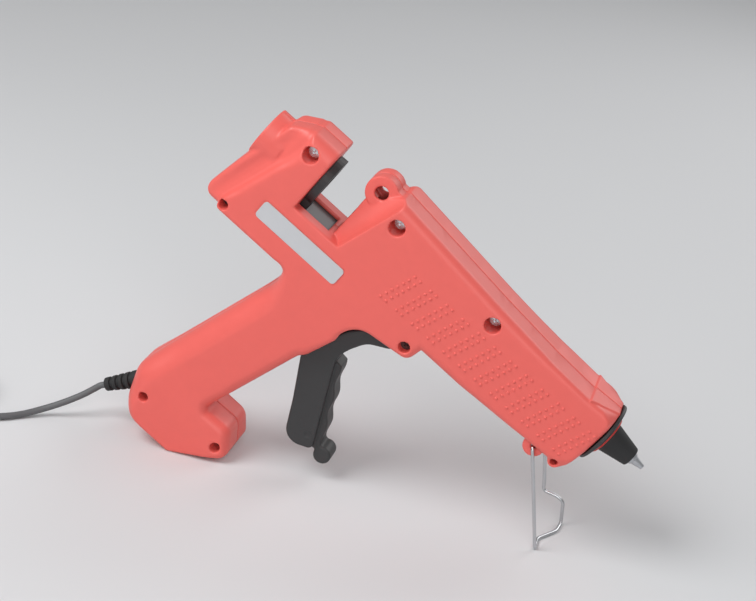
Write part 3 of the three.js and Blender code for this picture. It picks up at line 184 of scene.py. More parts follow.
def grip_axes(x, z):
    """Across and down along the grip, of points of the side view."""
    s, c = math.sin(GRIP_RAKE), math.cos(GRIP_RAKE)
    dx, dz = x - GRIP_ROOT[0], z - GRIP_ROOT[1]
    return dx * c - dz * s, -dx * s - dz * c


# Outlines of the housing: corners of the side view, each with the radius of its rounding
BARREL = [
    (NOTCH_FRONT, -28.5, 0),
    (165.6, -28.8, 34),
    (207, -25.6, 20),
    (228, -24.5, 4),
    (BARREL_FRONT, -NOSE_RADIUS, 0),
    (BARREL_FRONT, 16.2, 0),
    (NOSE_PAD_REAR, 15.2, 0),
    (191, 16, 40),
    (154, 18.9, 60),
    (79.3, 26.3, 2),
    (NOTCH_FRONT, 9.3, 0),
]
BODY = [
    (9.5, -46, 3),
    (57.4, -46, 6),
    (*grip(6, 10), 4),
    (*grip(GRIP_DEPTH, 14), 2),
    (105.2, -41.8, 13.5),
    (136.6, -37.6, 5.5),
    (138.9, -26, 0),
    (138.9, HEAD_TOP, 0),
    (23.4, HEAD_TOP, 2),
    (21.6, -0.3, 20),
    (9.5, -39.6, 4),
]
HEAD_REAR = [
    (0, -46, 5),
    (34.9, -46, 0),
    (34.9, HEAD_REAR_TOP, 0),
    (21.5, HEAD_REAR_TOP, 4),
    (12.3, 13.9, 5),
    (3.3, -18.4, 10),
    (-0.8, -39.6, 5),
]
GRIP_CORNERS = [
    (0, -6, 0),
    (0, 104.1, 16),
    (14.6, 125, 13),
    (48.4, 115.6, 3),
    (69.4, 88.5, 5),
    (56.4, 77.6, 8),
    (GRIP_DEPTH, 83.2, 2.5),
    (GRIP_DEPTH, -6, 0),
]
GRIP = [(*grip(across, down), radius) for across, down, radius in GRIP_CORNERS]
TRIGGER_ROOM = [
    (*grip(53, 38), 0),
    (*grip(34, 32.5), 0),
    (*grip(22, 15), 0),
    (105, -35.4, 0),
    (125.3, -35.4, 0),
    (136.4, -32.4, 0),
    (136.4, -48.4, 0),
]
TRIGGER_ROOM_HALF = 9.5

# Housing screws: place, radius of the recess over the head, and distance of the head's seat from the seam
SCREW_SEAT = 7.3
SCREWS = [
    ((29.9, 11.5), 4.4, SCREW_SEAT),
    ((86.4, 14.2), 4.4, SCREW_SEAT),
    ((155.1, 10), 4.4, SCREW_SEAT),
    (LUG, 3.2, 10.7),
    (NOSE_LOBE, 2.1, SCREW_SEAT),
    ((12.7, -41.6), 2.7, SCREW_SEAT),
    (grip(15.9, 107.8), 2.8, SCREW_SEAT),
    (grip(60, 89.5), 2.8, SCREW_SEAT),
]
SCREW_BORE = 1.7
BOSS_RADIUS = 2.9
BOSS_WALL = 1.2

# Raised dots in bands on the flanks
DOT_START = (103.7, -19.5)
DOT_BAND_PITCH = 10.77
DOT_BAND_RISE = 0.15
DOT_ROW_PITCH = 3.7
DOT_PITCH = 3.6
DOT_LEAN = math.radians(16.3)
DOT_BANDS = 12
DOT_ROWS = 2
DOTS_IN_ROW = 7
DOT_RADIUS = 0.95
DOT_HEIGHT = 0.6
DOT_SUNK = 0.05
DOT_RINGS = 3
DOT_SIDES = 10

# Trigger, drawn along its front edge from the top of the side plates
TRIGGER_TOP = (111, -73.7)
TRIGGER_SLOPE = math.radians(26.4)
TRIGGER_LENGTH = 52.2
TRIGGER_DEPTH = 16.8
TRIGGER_HALF = 9
TRIGGER_WALL = 2.6
TRIGGER_EDGE = 1.1
TRIGGER_HOLLOW_TOP = -17.4  # down along the front edge
TRIGGER_HOLLOW_EDGE = 0.3
PAD_HALF = 6.5
PAD_STAND = 4.1
PAD_EDGE = 1.2
PAD_FILLET = 0.5
FINGER_FIRST = 2.3
FINGER_PITCH = 17.8
FINGER_RELIEF = 0.75
FINGER_STEPS = 40
HOOK_RADIUS = 5
HOOK_FILLET = 2.5
HUB_RADIUS = 5.4
JOURNAL_BORE = 3.3
JOURNAL_EDGE = 0.2
PUSHER = (84, -78)
PUSHER_RADIUS = 4
PUSHER_HALF = 2.8
PUSHER_EDGE = 0.5
EJECTOR_RADIUS = 1.6
EJECTOR_DEPTH = 0.35
EJECTOR_EDGE = 0.2


def pull(across, down):
    """A point of the side view, given across and along the trigger's front edge."""
    s, c = math.sin(TRIGGER_SLOPE), math.cos(TRIGGER_SLOPE)
    return TRIGGER_TOP[0] + across * c + down * s, TRIGGER_TOP[1] + across * s - down * c


TRIGGER_PLATE = [
    (*pull(0, TRIGGER_LENGTH), 3),
    (*pull(1, -5.7), 14),
    (*pull(7.3, -12.5), 14),
    (*pull(15.1, -18.8), 12),
    (*pull(27.1, -19.8), 6),
    (LUG[0], LUG[1] - HUB_RADIUS, 0),
    (LUG[0] - HUB_RADIUS / 2, LUG[1] + HUB_RADIUS / 2, 0),
    (*pull(30.8, -33.4), 10),
    (*pull(17.7, -28.7), 16),
    (*pull(3.4, -22.4), 14),
    (*pull(-8.4, -12.5), 12),
    (*pull(-18.2, -3.1), 8),
    (*pull(-TRIGGER_DEPTH, 26), 5),
    (*pull(-TRIGGER_DEPTH, TRIGGER_LENGTH), 9),
]
TRIGGER_HOLLOW_CORNERS = [
    (-TRIGGER_WALL, TRIGGER_HOLLOW_TOP),
    (-TRIGGER_WALL, TRIGGER_LENGTH - TRIGGER_WALL),
    (-2 * TRIGGER_DEPTH, TRIGGER_LENGTH - TRIGGER_WALL),
    (-2 * TRIGGER_DEPTH, -TRIGGER_LENGTH),
    (TRIGGER_LENGTH, -TRIGGER_LENGTH),
    (TRIGGER_LENGTH, TRIGGER_HOLLOW_TOP),
]
TRIGGER_HOLLOW = [(*pull(across, down), 0) for across, down in TRIGGER_HOLLOW_CORNERS]
HOOK = pull(5.7, 55.2)
EJECTOR = pull(-4.1, 44.2)

# Turned pieces at the front, along the stick's axis: corners as distance, radius and rounding
RING_REAR = 235.3
RING_FRONT = 238.7
RING_RADIUS = 17.7
RING_BORE = 5.5
CONE_REAR = 240
CONE_FRONT = 256.5
TIP_FRONT = 264.5
FRONT_RING = [
    (228.3, RING_BORE, 0),
    (228.3, 14.4, 0),
    (230.3, 14.4, 0),
    (230.3, 13, 0),
    (RING_REAR, 13, 0),
    (RING_REAR, RING_RADIUS, 0.4),
    (237, RING_RADIUS, 0.5),
    (RING_FRONT, 12.2, 0.3),
    (RING_FRONT, RING_BORE, 0),
]
SEAL_RING = [
    (238.9, RING_BORE, 0),
    (238.9, 11.2, 0.3),
    (239.8, 11.2, 0.3),
    (239.8, RING_BORE, 0),
]
CONE = [
    (CONE_REAR, 5.3, 0),
    (CONE_REAR, 8.75, 0.6),
    (CONE_FRONT, 5.45, 0.8),
    (CONE_FRONT, 5.15, 0),
]
NOZZLE = [
    (218, 1.6, 0),
    (218, 4, 0),
    (228.3, 4, 0),
    (228.3, 5, 0),
    (CONE_FRONT, 5, 0.5),
    (CONE_FRONT, 3.6, 0.2),
    (258.1, 3.2, 0.3),
    (258.7, 2.5, 0.3),
    (TIP_FRONT, 1.4, 0.3),
    (TIP_FRONT, 0.8, 0),
    (CONE_FRONT, 0.8, 0),
]
TURNED_SIDES = 72
SHARP_ANGLE = math.radians(35)

# Strain relief
RELIEF_MOUTH = (38.5, 0, -166.2)  # where its axis leaves the butt
RELIEF_SLOPE = math.radians(25)  # below level, pointing back
RELIEF_LENGTH = 20.7
RELIEF_BORE = 2.15
RELIEF_WIDE = 5.2
RELIEF_NARROW = 3.8
RELIEF_SLOTS = 4
RELIEF_SLOT_HALF = 1
RELIEF_SLOT_FLOOR = 0.7  # half the floor's width
RELIEF_SLOT_DEPTH = 1.3
RELIEF_SLOT_EDGE = 0.25
RELIEF_ROOT = [
    (-5, RELIEF_BORE, 0),
    (-5, 4.9, 0),
    (-4.4, 4.9, 0),
    (-4.4, 4, 0),
    (-2, 4, 0),
    (-2, RELIEF_WIDE, 0.4),
]
RELIEF_TIP = [(RELIEF_LENGTH, RELIEF_NARROW, 0.5), (RELIEF_LENGTH, RELIEF_BORE, 0)]

# Wire stand, in millimetres of the frame
STAND_RADIUS = 0.95
STAND_BEND = 2.2
STAND_WAY = [
    (83.2, -11, 57.6),
    (83.2, -16, 57.6),
    (95.6, -17.5, STAND_RADIUS),
    (94.9, -6.7, STAND_RADIUS),
    (103.1, 6.5, STAND_RADIUS),
    (104.1, 16, STAND_RADIUS),
    (102.8, 16, 14.2),
    (98.7, 16, 16.6),
    (91, 16, 17.9),
    (90.5, 16, 23.4),
    (88.3, 16, 36.2),
    (83.2, 16, 57.6),
    (83.2, 11, 57.6),
]

# Cord, in the frame's metres
CORD_DIAMETER = 0.0037
CORD_RADIUS = CORD_DIAMETER / 2

# Boxes in which the fields are sampled
HULL_LOW = (-3, 0, -186)
HULL_HIGH = (BARREL_FRONT, 21, 31)
TRIGGER_LOW = (78, -10, -136)
TRIGGER_HIGH = (148, 10, -26)


def in_frame(points):
    """Points of the gun's axes, in millimetres, as points of the frame, in metres."""
    p = np.asarray(points, float)
    s, c = math.sin(DROP), math.cos(DROP)
    turned = np.stack([p[..., 0] * c + p[..., 2] * s, p[..., 1], p[..., 2] * c - p[..., 0] * s], -1)
    return turned * MM + np.array(GUN_ORIGIN)


# Camera


def make_camera():
    """Stands the camera where the photograph was taken from."""
    sa, ca = math.sin(CAMERA_AZIMUTH), math.cos(CAMERA_AZIMUTH)
    se, ce = math.sin(CAMERA_ELEVATION), math.cos(CAMERA_ELEVATION)
    forward = Vector((-sa * ce, ca * ce, -se))
    right = Vector((ca, sa, 0))
    up = right.cross(forward)
    sr, cr = math.sin(CAMERA_ROLL), math.cos(CAMERA_ROLL)
    axes = Matrix((right * cr + up * sr, up * cr - right * sr, -forward)).transposed()
    data = bpy.data.cameras.new("camera")
    data.lens = CAMERA_LENS
    camera = bpy.data.objects.new("camera", data)
    camera.matrix_world = Matrix.Translation(CAMERA_PLACE) @ axes.to_4x4()
    bpy.context.scene.collection.objects.link(camera)
    bpy.context.scene.camera = camera


make_camera()

# Cord: down from the strain relief to the floor, and out of the view into a coil of four layers

CLEARANCE = 0.0003
COIL_BEHIND = 0.168  # the gun's origin
COIL_MIDDLE = (GUN_ORIGIN[0] - COIL_BEHIND, -0.028)
COIL_RADIUS = 0.022
COIL_LAYERS = 4
COIL_TURNS = 2.35
COIL_STEP_UP = 0.25
COIL_PITCH = 0.0046
COIL_LIFT = 0.0013
COIL_HEADING = math.radians(-55)
COIL_STEPS = 36
RUN_SHARES = [
    # along the way to the coil, of the coil's place aside, and of the start's height
    (0.092, 0.135, 0.62),
    (0.213, 0.255, 0.336),
    (0.336, 0.366, 0.106),
    (0.445, 0.521, 0),
    (0.554, 0.681, 0),
    (0.763, 0.851, 0),
]
TAIL_LEVEL = 0.009
TAIL_DESCENT = 0.034
TAIL_END = 0.007
TAIL_BEND = 0.006
SPAN_STEPS = 8


def relief_point(out):
    """A point on the strain relief's axis, in the frame, at a distance outside the butt."""
    mouth = in_frame(RELIEF_MOUTH)
    return mouth + out * np.array([-math.cos(RELIEF_SLOPE), 0, -math.sin(RELIEF_SLOPE)])


def coil_points():
    """The turns of the coil, layer on layer, spiralling in and out."""
    period = COIL_TURNS + COIL_STEP_UP
    turns = COIL_LAYERS * period - COIL_STEP_UP
    half = COIL_TURNS * COIL_PITCH / 2
    points = []
    for turn in np.linspace(0, turns, round(turns * COIL_STEPS) + 1):
        layer = min(int(turn / period), COIL_LAYERS - 1)
        within = turn - layer * period
        climb = min(max((within - COIL_TURNS) / COIL_STEP_UP, 0), 1)
        outward = half - min(within, COIL_TURNS) * COIL_PITCH
        radius = COIL_RADIUS + (-outward if layer % 2 else outward)
        angle = COIL_HEADING - 2 * math.pi * turn
        points.append([
            COIL_MIDDLE[0] + radius * math.cos(angle),
            COIL_MIDDLE[1] + radius * math.sin(angle),
            COIL_LIFT + CORD_RADIUS + COIL_PITCH * (layer + climb),
        ])
    return np.array(points)


def smooth_run(knots, steps):
    """A centripetal curve through the knots."""
    ends = [2 * knots[0] - knots[1], *knots, 2 * knots[-1] - knots[-2]]
    points = [knots[0]]
    for p0, p1, p2, p3 in zip(ends, ends[1:], ends[2:], ends[3:]):
        t0 = 0
        t1 = t0 + math.sqrt(np.linalg.norm(p1 - p0))
        t2 = t1 + math.sqrt(np.linalg.norm(p2 - p1))
        t3 = t2 + math.sqrt(np.linalg.norm(p3 - p2))
        for t in np.linspace(t1, t2, steps + 1)[1:]:
            a1 = ((t1 - t) * p0 + (t - t0) * p1) / (t1 - t0)
            a2 = ((t2 - t) * p1 + (t - t1) * p2) / (t2 - t1)
            a3 = ((t3 - t) * p2 + (t - t2) * p3) / (t3 - t2)
            b1 = ((t2 - t) * a1 + (t - t0) * a2) / (t2 - t0)
            b2 = ((t3 - t) * a2 + (t - t1) * a3) / (t3 - t1)
            points.append(((t2 - t) * b1 + (t - t1) * b2) / (t2 - t1))
    return np.array(points)


def bent(points, size, steps=6):
    """A path with its corners rounded off."""
    path = [points[0]]
    for before, here, after in zip(points, points[1:], points[2:]):
        start = here + (before - here) / np.linalg.norm(before - here) * size
        end = here + (after - here) / np.linalg.norm(after - here) * size
        for t in np.linspace(0, 1, steps + 1):
            path.append((1 - t) ** 2 * start + 2 * t * (1 - t) * here + t * t * end)
    path.append(points[-1])
    return np.array(path)


def tail_points(coil):
    """The cord's end: level off the top of the coil, down to the floor and into the plug."""
    way = coil[-1] - coil[-2]
    way[2] = 0
    way /= np.linalg.norm(way)
    level = coil[-1] + way * TAIL_LEVEL
    down = level + way * TAIL_DESCENT
    down[2] = CORD_RADIUS + CLEARANCE
    return bent([coil[-1], level, down, down + way * TAIL_END], TAIL_BEND)[1:]


def run_points(coil):
    """The free run from the strain relief's tip to the coil."""
    mouth = relief_point(RELIEF_LENGTH * MM + CLEARANCE)
    start = relief_point(RELIEF_LENGTH * MM + CLEARANCE + CORD_DIAMETER)
    way = coil[1] - coil[0]
    way[2] = 0
    before = coil[0] - way / np.linalg.norm(way) * CORD_DIAMETER
    middle = [
        np.array([
            start[0] + (coil[0][0] - start[0]) * away,
            coil[0][1] * aside,
            CORD_RADIUS + CLEARANCE + start[2] * up,
        ])
        for away, aside, up in RUN_SHARES
    ]
    return np.concatenate([[mouth], smooth_run([start, *middle, before], SPAN_STEPS)])


def tube_curve(name, points, radius, resolution=6):
    """A round cord or wire as a curve with one open spline."""
    data = bpy.data.curves.new(name, "CURVE")
    data.dimensions = "3D"
    data.bevel_depth = 1  # times the radius at each point
    data.bevel_resolution = resolution
    data.use_fill_caps = True
    spline = data.splines.new("POLY")
    spline.points.add(len(points) - 1)
    spline.points.foreach_set("co", np.c_[points, np.ones(len(points))].ravel())
    spline.points.foreach_set("radius", np.full(len(points), radius))
    spline.use_smooth = True
    piece = bpy.data.objects.new(name, data)
    bpy.context.scene.collection.objects.link(piece)
    return piece


coil = coil_points()
cord_path = np.concatenate([run_points(coil), coil, tail_points(coil)])
cord = tube_curve("mains_cord", cord_path, CORD_RADIUS)
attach(cord, "gun_body")
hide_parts("cord", "cord_coil")

# Fields: negative inside, and about the distance to the surface in millimetres near it

STRAIGHT = 0.0003  # sine of a turn that needs no rounding


def rounded(corners):
    """The points of an outline whose corners are rounded."""
    points = []
    count = len(corners)
    for i, (x, z, radius) in enumerate(corners):
        here = np.array([x, z], float)
        into = here - np.array(corners[i - 1][:2], float)
        out = np.array(corners[(i + 1) % count][:2], float) - here
        into /= np.linalg.norm(into)
        out /= np.linalg.norm(out)
        turn = into[0] * out[1] - into[1] * out[0]
        if not radius or abs(turn) < STRAIGHT:
            points.append(here)
            continue
        side = math.copysign(1, turn)
        half = abs(math.atan2(turn, into @ out)) / 2
        start = here - into * radius * math.tan(half)
        centre = start + side * radius * np.array([-into[1], into[0]])
        for step in range(CORNER_STEPS + 1):
            angle = side * 2 * half * step / CORNER_STEPS
            s, c = math.sin(angle), math.cos(angle)
            spoke = start - centre
            points.append(centre + np.array([spoke[0] * c - spoke[1] * s, spoke[0] * s + spoke[1] * c]))
    return points


def outline(corners, x, z):
    """Distance to a closed outline of the side view, negative inside it."""
    points = rounded(corners)
    nearest = np.full(np.broadcast(x, z).shape, np.inf, np.float32)
    inside = np.zeros(nearest.shape, bool)
    for (ax, az), (bx, bz) in zip(points, points[1:] + points[:1]):
        ex, ez = bx - ax, bz - az
        wx, wz = x - ax, z - az
        share = np.clip((wx * ex + wz * ez) / (ex * ex + ez * ez), 0, 1)
        nearest = np.minimum(nearest, (wx - ex * share) ** 2 + (wz - ez * share) ** 2)
        if az != bz:
            inside ^= ((az > z) != (bz > z)) & (wx < ex * wz / ez)
    return np.where(inside, -1, 1) * np.sqrt(nearest)


def beside(path, x, z):
    """Distance to an open path of the side view."""
    nearest = np.full(np.broadcast(x, z).shape, np.inf, np.float32)
    for (ax, az), (bx, bz) in zip(path, path[1:]):
        ex, ez = bx - ax, bz - az
        wx, wz = x - ax, z - az
        share = np.clip((wx * ex + wz * ez) / (ex * ex + ez * ez), 0, 1)
        nearest = np.minimum(nearest, np.hypot(wx - ex * share, wz - ez * share))
    return nearest


def disc(at, radius, x, z):
    """Distance to a round of the side view."""
    return np.hypot(x - at[0], z - at[1]) - radius


def slab(value, low, high):
    """Distance to the layer between two values."""
    return np.abs(value - (low + high) / 2) - (high - low) / 2


def both(a, b, edge):
    """Where both fields are, with an edge of that radius."""
    outside = np.hypot(np.maximum(a + edge, 0), np.maximum(b + edge, 0))
    return np.minimum(np.maximum(a, b) + edge, 0) + outside - edge


def either(a, b, fillet):
    """Where either field is, with a fillet between them."""
    share = np.clip(0.5 + (b - a) / (2 * fillet), 0, 1)
    return b + (a - b) * share - fillet * share * (1 - share)


def without(a, b, edge):
    """The first field with the second cut out of it."""
    return -either(-a, b, edge)


def blend(a, b, share):
    """The first value where the share is 0, and the second where it is 1."""
    return a + (b - a) * share


def ramp(value, start, end):
    """0 before the start, 1 after the end and smooth between them."""
    t = np.clip((value - start) / (end - start), 0, 1)
    return t * t * (3 - 2 * t)


def body_form(x, y, z):
    """The body, and the grip with its foot, with the notch for the feed cut out."""
    across, down = grip_axes(x, z)
    on_grip = ramp(down, *GRIP_WAY) * ramp(across, *GRIP_REAR_WAY)
    on_foot = ramp(down, *FOOT_WAY)
    half = BODY_HALF + (GRIP_HALF - BODY_HALF) * on_grip + (FOOT_HALF - GRIP_HALF) * on_foot
    edge = blend(BODY_EDGE, HEAD_EDGE, ramp(z, *HEAD_EDGE_RISE))
    edge = edge + (UNDER_EDGE - BODY_EDGE) * ramp(-z, *UNDER_EDGE_FALL)
    held = blend(GRIP_EDGE, GRIP_FRONT_EDGE, ramp(across, *GRIP_FRONT_WAY))
    edge = blend(edge, held, on_grip)
    edge = blend(edge, FOOT_EDGE, on_foot * ramp(across, *FOOT_REAR_WAY))
    side = either(outline(BODY, x, z), outline(GRIP, x, z), GRIP_FILLET)
    body = both(side, y - half, edge)
    return without(body, np.maximum(NOTCH_REAR - x, NOTCH_FLOOR - z), NOTCH_EDGE)


def with_head(body, x, y, z):
    """Adds the narrower rear of the head, behind a groove, and the collar round the stick's inlet."""
    path = [(px - GROOVE_BEHIND, pz) for px, pz in FLANK_LINE]
    groove = np.hypot(beside(path, x, z), y - GROOVE_MIDDLE) - GROOVE_RADIUS
    rear = both(outline(HEAD_REAR, x, z), y - HEAD_REAR_HALF, HEAD_REAR_EDGE)
    rear = without(rear, groove, REAR_GROOVE_EDGE)
    body = either(without(body, groove, GROOVE_EDGE), rear, REAR_FILLET)
    collar = np.hypot(y, z + COLLAR_DROP) - COLLAR_RADIUS
    collar = both(collar, slab(x, COLLAR_REAR, COLLAR_FRONT), COLLAR_EDGE)
    return either(body, collar, COLLAR_FILLET)


def nose_pad(x, y, z):
    """The flat that stands a little proud on top of the nose, and narrows to the front ring."""
    share = (x - NOSE_PAD_REAR) / (BARREL_FRONT - NOSE_PAD_REAR)
    half = blend(*NOSE_PAD_HALVES, share)
    top = blend(*NOSE_PAD_TOPS, share)
    above = np.maximum(slab(x, NOSE_PAD_REAR, BARREL_FRONT), slab(z, NOSE_PAD_UNDER, top))
    return np.maximum(above, y - half)


def barrel_form(x, y, z):
    """The barrel, tapered at the nose and scooped out on both sides of the ridge at its rear."""
    edge = blend(BARREL_EDGE, NOSE_EDGE, ramp(x, *NOSE_EDGE_WAY))
    barrel = both(outline(BARREL, x, z), y - BODY_HALF, edge)
    slope = blend(NOSE_UNDER_SLOPE, NOSE_TOP_SLOPE, ramp(z, *NOSE_SLOPE_WAY))
    cone = np.hypot(y, z) - NOSE_RADIUS - slope * (BARREL_FRONT - x)
    barrel = without(barrel, -cone / np.sqrt(1 + slope * slope), NOSE_CONE_EDGE)
    barrel = np.minimum(barrel, nose_pad(x, y, z))
    behind = (x - RIDGE_FOOT + RAMP_RADIUS) * math.cos(RIDGE_LEAN) - (z - NOTCH_FLOOR) * math.sin(RIDGE_LEAN)
    return without(barrel, np.hypot(behind, y - RAMP_MIDDLE) - RAMP_RADIUS, RAMP_EDGE)


def eyelet_form(x, y, z):
    """The hanging eyelet, with the web that joins it to the barrel."""
    front, foot, top = EYELET_WEB
    web = np.maximum(slab(x, EYELET[0], front), slab(z, foot, top))
    return both(np.minimum(disc(EYELET, EYELET_RADIUS, x, z), web), y - EYELET_HALF, EYELET_EDGE)


def hull(x, y, z):
    """The solid form of the whole housing, before it is hollowed."""
    y = np.abs(y)
    body = with_head(body_form(x, y, z), x, y, z)
    body = np.minimum(body, barrel_form(x, y, z))
    body = np.minimum(body, eyelet_form(x, y, z))
    lobe = beside([NOSE_LOBE, NOSE_LOBE_FRONT], x, z) - NOSE_LOBE_RADIUS
    body = either(body, both(lobe, y - NOSE_LOBE_HALF, NOSE_LOBE_EDGE), NOSE_LOBE_FILLET)
    ear = both(disc(EAR, EAR_RADIUS, x, z), slab(y, EAR_OUTSIDE - EAR_THICKNESS, EAR_OUTSIDE), EAR_EDGE)
    return either(body, ear, EAR_FILLET)


def openings(body, x, y, z):
    """Cuts the holes that go through both halves."""
    from_axis = np.hypot(y, z)
    side = np.abs(y)
    bore = np.maximum(from_axis - STICK_RADIUS, x - STICK_BORE_FRONT)
    neck = np.maximum(from_axis - RING_NECK, RING_NECK_REAR - x)
    slot = np.maximum(np.maximum(side - SLOT_HALF, slab(x, NOTCH_REAR, SLOT_FRONT)), slab(z, SLOT_FLOOR, 0))
    room = np.maximum(outline(TRIGGER_ROOM, x, z), side - TRIGGER_ROOM_HALF)
    for opening in (bore, neck, slot, room):
        body = without(body, opening, OPENING_EDGE)
    body = without(body, disc(EYELET, EYELET_BORE, x, z), EYELET_BORE_EDGE)
    return without(body, disc(EAR, EAR_BORE, x, z), OPENING_EDGE)


def bosses(x, y, z):
    """The posts that the screws run in."""
    side = np.abs(y)
    found = np.full(np.broadcast(x, y, z).shape, np.inf, np.float32)
    for at, recess, seat in SCREWS:
        found = np.minimum(found, disc(at, BOSS_RADIUS, x, z))
        wide = np.maximum(disc(at, recess + BOSS_WALL, x, z), seat - BOSS_WALL - side)
        found = np.minimum(found, wide)
    return found


def near_cuts(body, x, y, z):
    """Cuts the recesses over the screw heads and the pocket of the label into the near half."""
    side = -y
    for at, recess, seat in SCREWS:
        body = without(body, np.maximum(disc(at, recess, x, z), seat - side), RECESS_EDGE)
        body = without(body, disc(at, SCREW_BORE, x, z), BORE_EDGE)
    length, height = (size / 2 + LABEL_GAP for size in LABEL_SIZE)
    pocket = outline([
        (LABEL_MIDDLE[0] + sx * length, LABEL_MIDDLE[1] + sz * height, LABEL_RADIUS)
        for sx, sz in ((-1, -1), (1, -1), (1, 1), (-1, 1))
    ], x, z)
    return without(body, np.maximum(pocket, BODY_HALF - LABEL_DEPTH - side), BORE_EDGE)


def mean_crossings(values):
    """Where the field crosses each cell's edges, on average, from its values at the cell's corners."""
    cells = len(next(iter(values.values())))
    total = np.zeros((cells, 3))
    hits = np.zeros(cells)
    for corner, a in values.items():
        for axis in range(3):
            if corner[axis]:
                continue
            far = tuple(1 if k == axis else c for k, c in enumerate(corner))
            b = values[far]
            crossed = (a < 0) != (b < 0)
            share = a[crossed] / (a[crossed] - b[crossed])
            point = np.tile(np.array(corner, float), (len(share), 1))
            point[:, axis] = share
            total[crossed] += point
            hits[crossed] += 1
    return total / hits[:, None]


def quads_across(inside, number, axis):
    """A quad for each sample edge along the axis that the surface crosses, from the four cells round it."""
    u, v = (axis + 1) % 3, (axis + 2) % 3
    low = [slice(1, n) for n in number.shape]
    low[axis] = slice(0, number.shape[axis])
    high = list(low)
    high[axis] = slice(1, number.shape[axis] + 1)
    a, b = inside[tuple(low)], inside[tuple(high)]
    at = np.argwhere(a != b)
    at += [0 if k == axis else 1 for k in range(3)]
    ring = []
    for du, dv in ((1, 1), (0, 1), (0, 0), (1, 0)):
        cell = at.copy()
        cell[:, u] -= du
        cell[:, v] -= dv
        ring.append(number[tuple(cell.T)])
    quads = np.stack(ring, 1)
    leaving = a[a != b]
    quads[~leaving] = quads[~leaving][:, ::-1]
    return quads


def surface(field, start, cell):
    """Vertices and quads of the zero level of a sampled field, one vertex in each cell that it crosses."""
    inside = field < 0
    sizes = [n - 1 for n in field.shape]
    corners = [(i, j, k) for i in (0, 1) for j in (0, 1) for k in (0, 1)]

    def part(values, corner):
        return values[tuple(slice(c, c + n) for c, n in zip(corner, sizes))]

    count = sum(part(inside, c).astype(np.int8) for c in corners)
    active = (count > 0) & (count < len(corners))
    cells = np.argwhere(active)
    crossings = mean_crossings({c: part(field, c)[active] for c in corners})
    number = np.full(active.shape, -1, np.int32)
    number[active] = np.arange(len(cells))
    quads = [quads_across(inside, number, axis) for axis in range(3)]
    return np.array(start) + (cells + crossings) * cell, np.concatenate(quads)


def mesh_piece(name, points, faces):
    """An object with a smooth mesh of quads, its points in the frame."""
    data = bpy.data.meshes.new(name)
    sides = faces.shape[1]
    data.vertices.add(len(points))
    data.vertices.foreach_set("co", np.asarray(points, np.float32).ravel())
    data.loops.add(faces.size)
    data.loops.foreach_set("vertex_index", faces.astype(np.int32).ravel())
    data.polygons.add(len(faces))
    data.polygons.foreach_set("loop_start", np.arange(0, faces.size, sides, dtype=np.int32))
    data.polygons.foreach_set("use_smooth", np.ones(len(faces), bool))
    data.update(calc_edges=True)
    data.validate()
    piece = bpy.data.objects.new(name, data)
    bpy.context.scene.collection.objects.link(piece)
    return piece


def settle(piece):
    """Applies a piece's modifiers to its mesh."""
    graph = bpy.context.evaluated_depsgraph_get()
    made = bpy.data.meshes.new_from_object(piece.evaluated_get(graph))
    old = piece.data
    piece.modifiers.clear()
    piece.data = made
    bpy.data.meshes.remove(old)


def thin_out(piece, keep):
    """Takes faces out where the surface is calm."""
    reduce = piece.modifiers.new("reduce", "DECIMATE")
    reduce.ratio = keep
    settle(piece)
    for polygon in piece.data.polygons:
        polygon.use_smooth = True


def sampled(low, high, cell):
    """Axes of a grid of samples, shaped so that fields broadcast over them, with two cells to spare."""
    x, y, z = (np.arange(a - 2 * cell, b + 3 * cell, cell, dtype=np.float32) for a, b in zip(low, high))
    return x[:, None, None], y[None, :, None], z[None, None, :]


def make_housing():
    """The two halves of the housing: the same form, with recesses and label on the near side only."""
    x, y, z = sampled(HULL_LOW, HULL_HIGH, HULL_CELL)
    solid = hull(x, y, z)
    shell = np.maximum(solid, -(solid + WALL))
    shell = np.minimum(shell, np.maximum(bosses(x, y, z), solid))
    shell = openings(shell, x, y, z)
    shell = np.maximum(shell, SEAM - y)
    start = (x.flat[0], y.flat[0], z.flat[0])
    halves = []
    for name, side in (("near_shell", -1), ("far_shell", 1)):
        field = near_cuts(shell, x, -y, z) if side < 0 else shell
        points, quads = surface(field, start, HULL_CELL)
        at_seam = np.abs(points[:, 1] - SEAM) < HULL_CELL / 2
        points[at_seam, 1] = SEAM
        points[:, 1] *= side
        if side < 0:
            quads = quads[:, ::-1]
        piece = mesh_piece(name, in_frame(points), quads)
        thin_out(piece, HULL_KEEP)
        halves.append(piece)
    return halves


def finger_outline():
    """The pad that the fingers pull, with its waves, without the hook at its end."""
    corners = [(*pull(-TRIGGER_WALL, 0), 0), (*pull(FINGER_RELIEF, -TRIGGER_WALL), 0)]
    for down in np.linspace(0, TRIGGER_LENGTH, FINGER_STEPS):
        wave = PAD_STAND + FINGER_RELIEF * math.cos(2 * math.pi * (down - FINGER_FIRST) / FINGER_PITCH)
        corners.append((*pull(wave, down), 0))
    return [*corners, (*pull(-TRIGGER_WALL, TRIGGER_LENGTH), 0)]


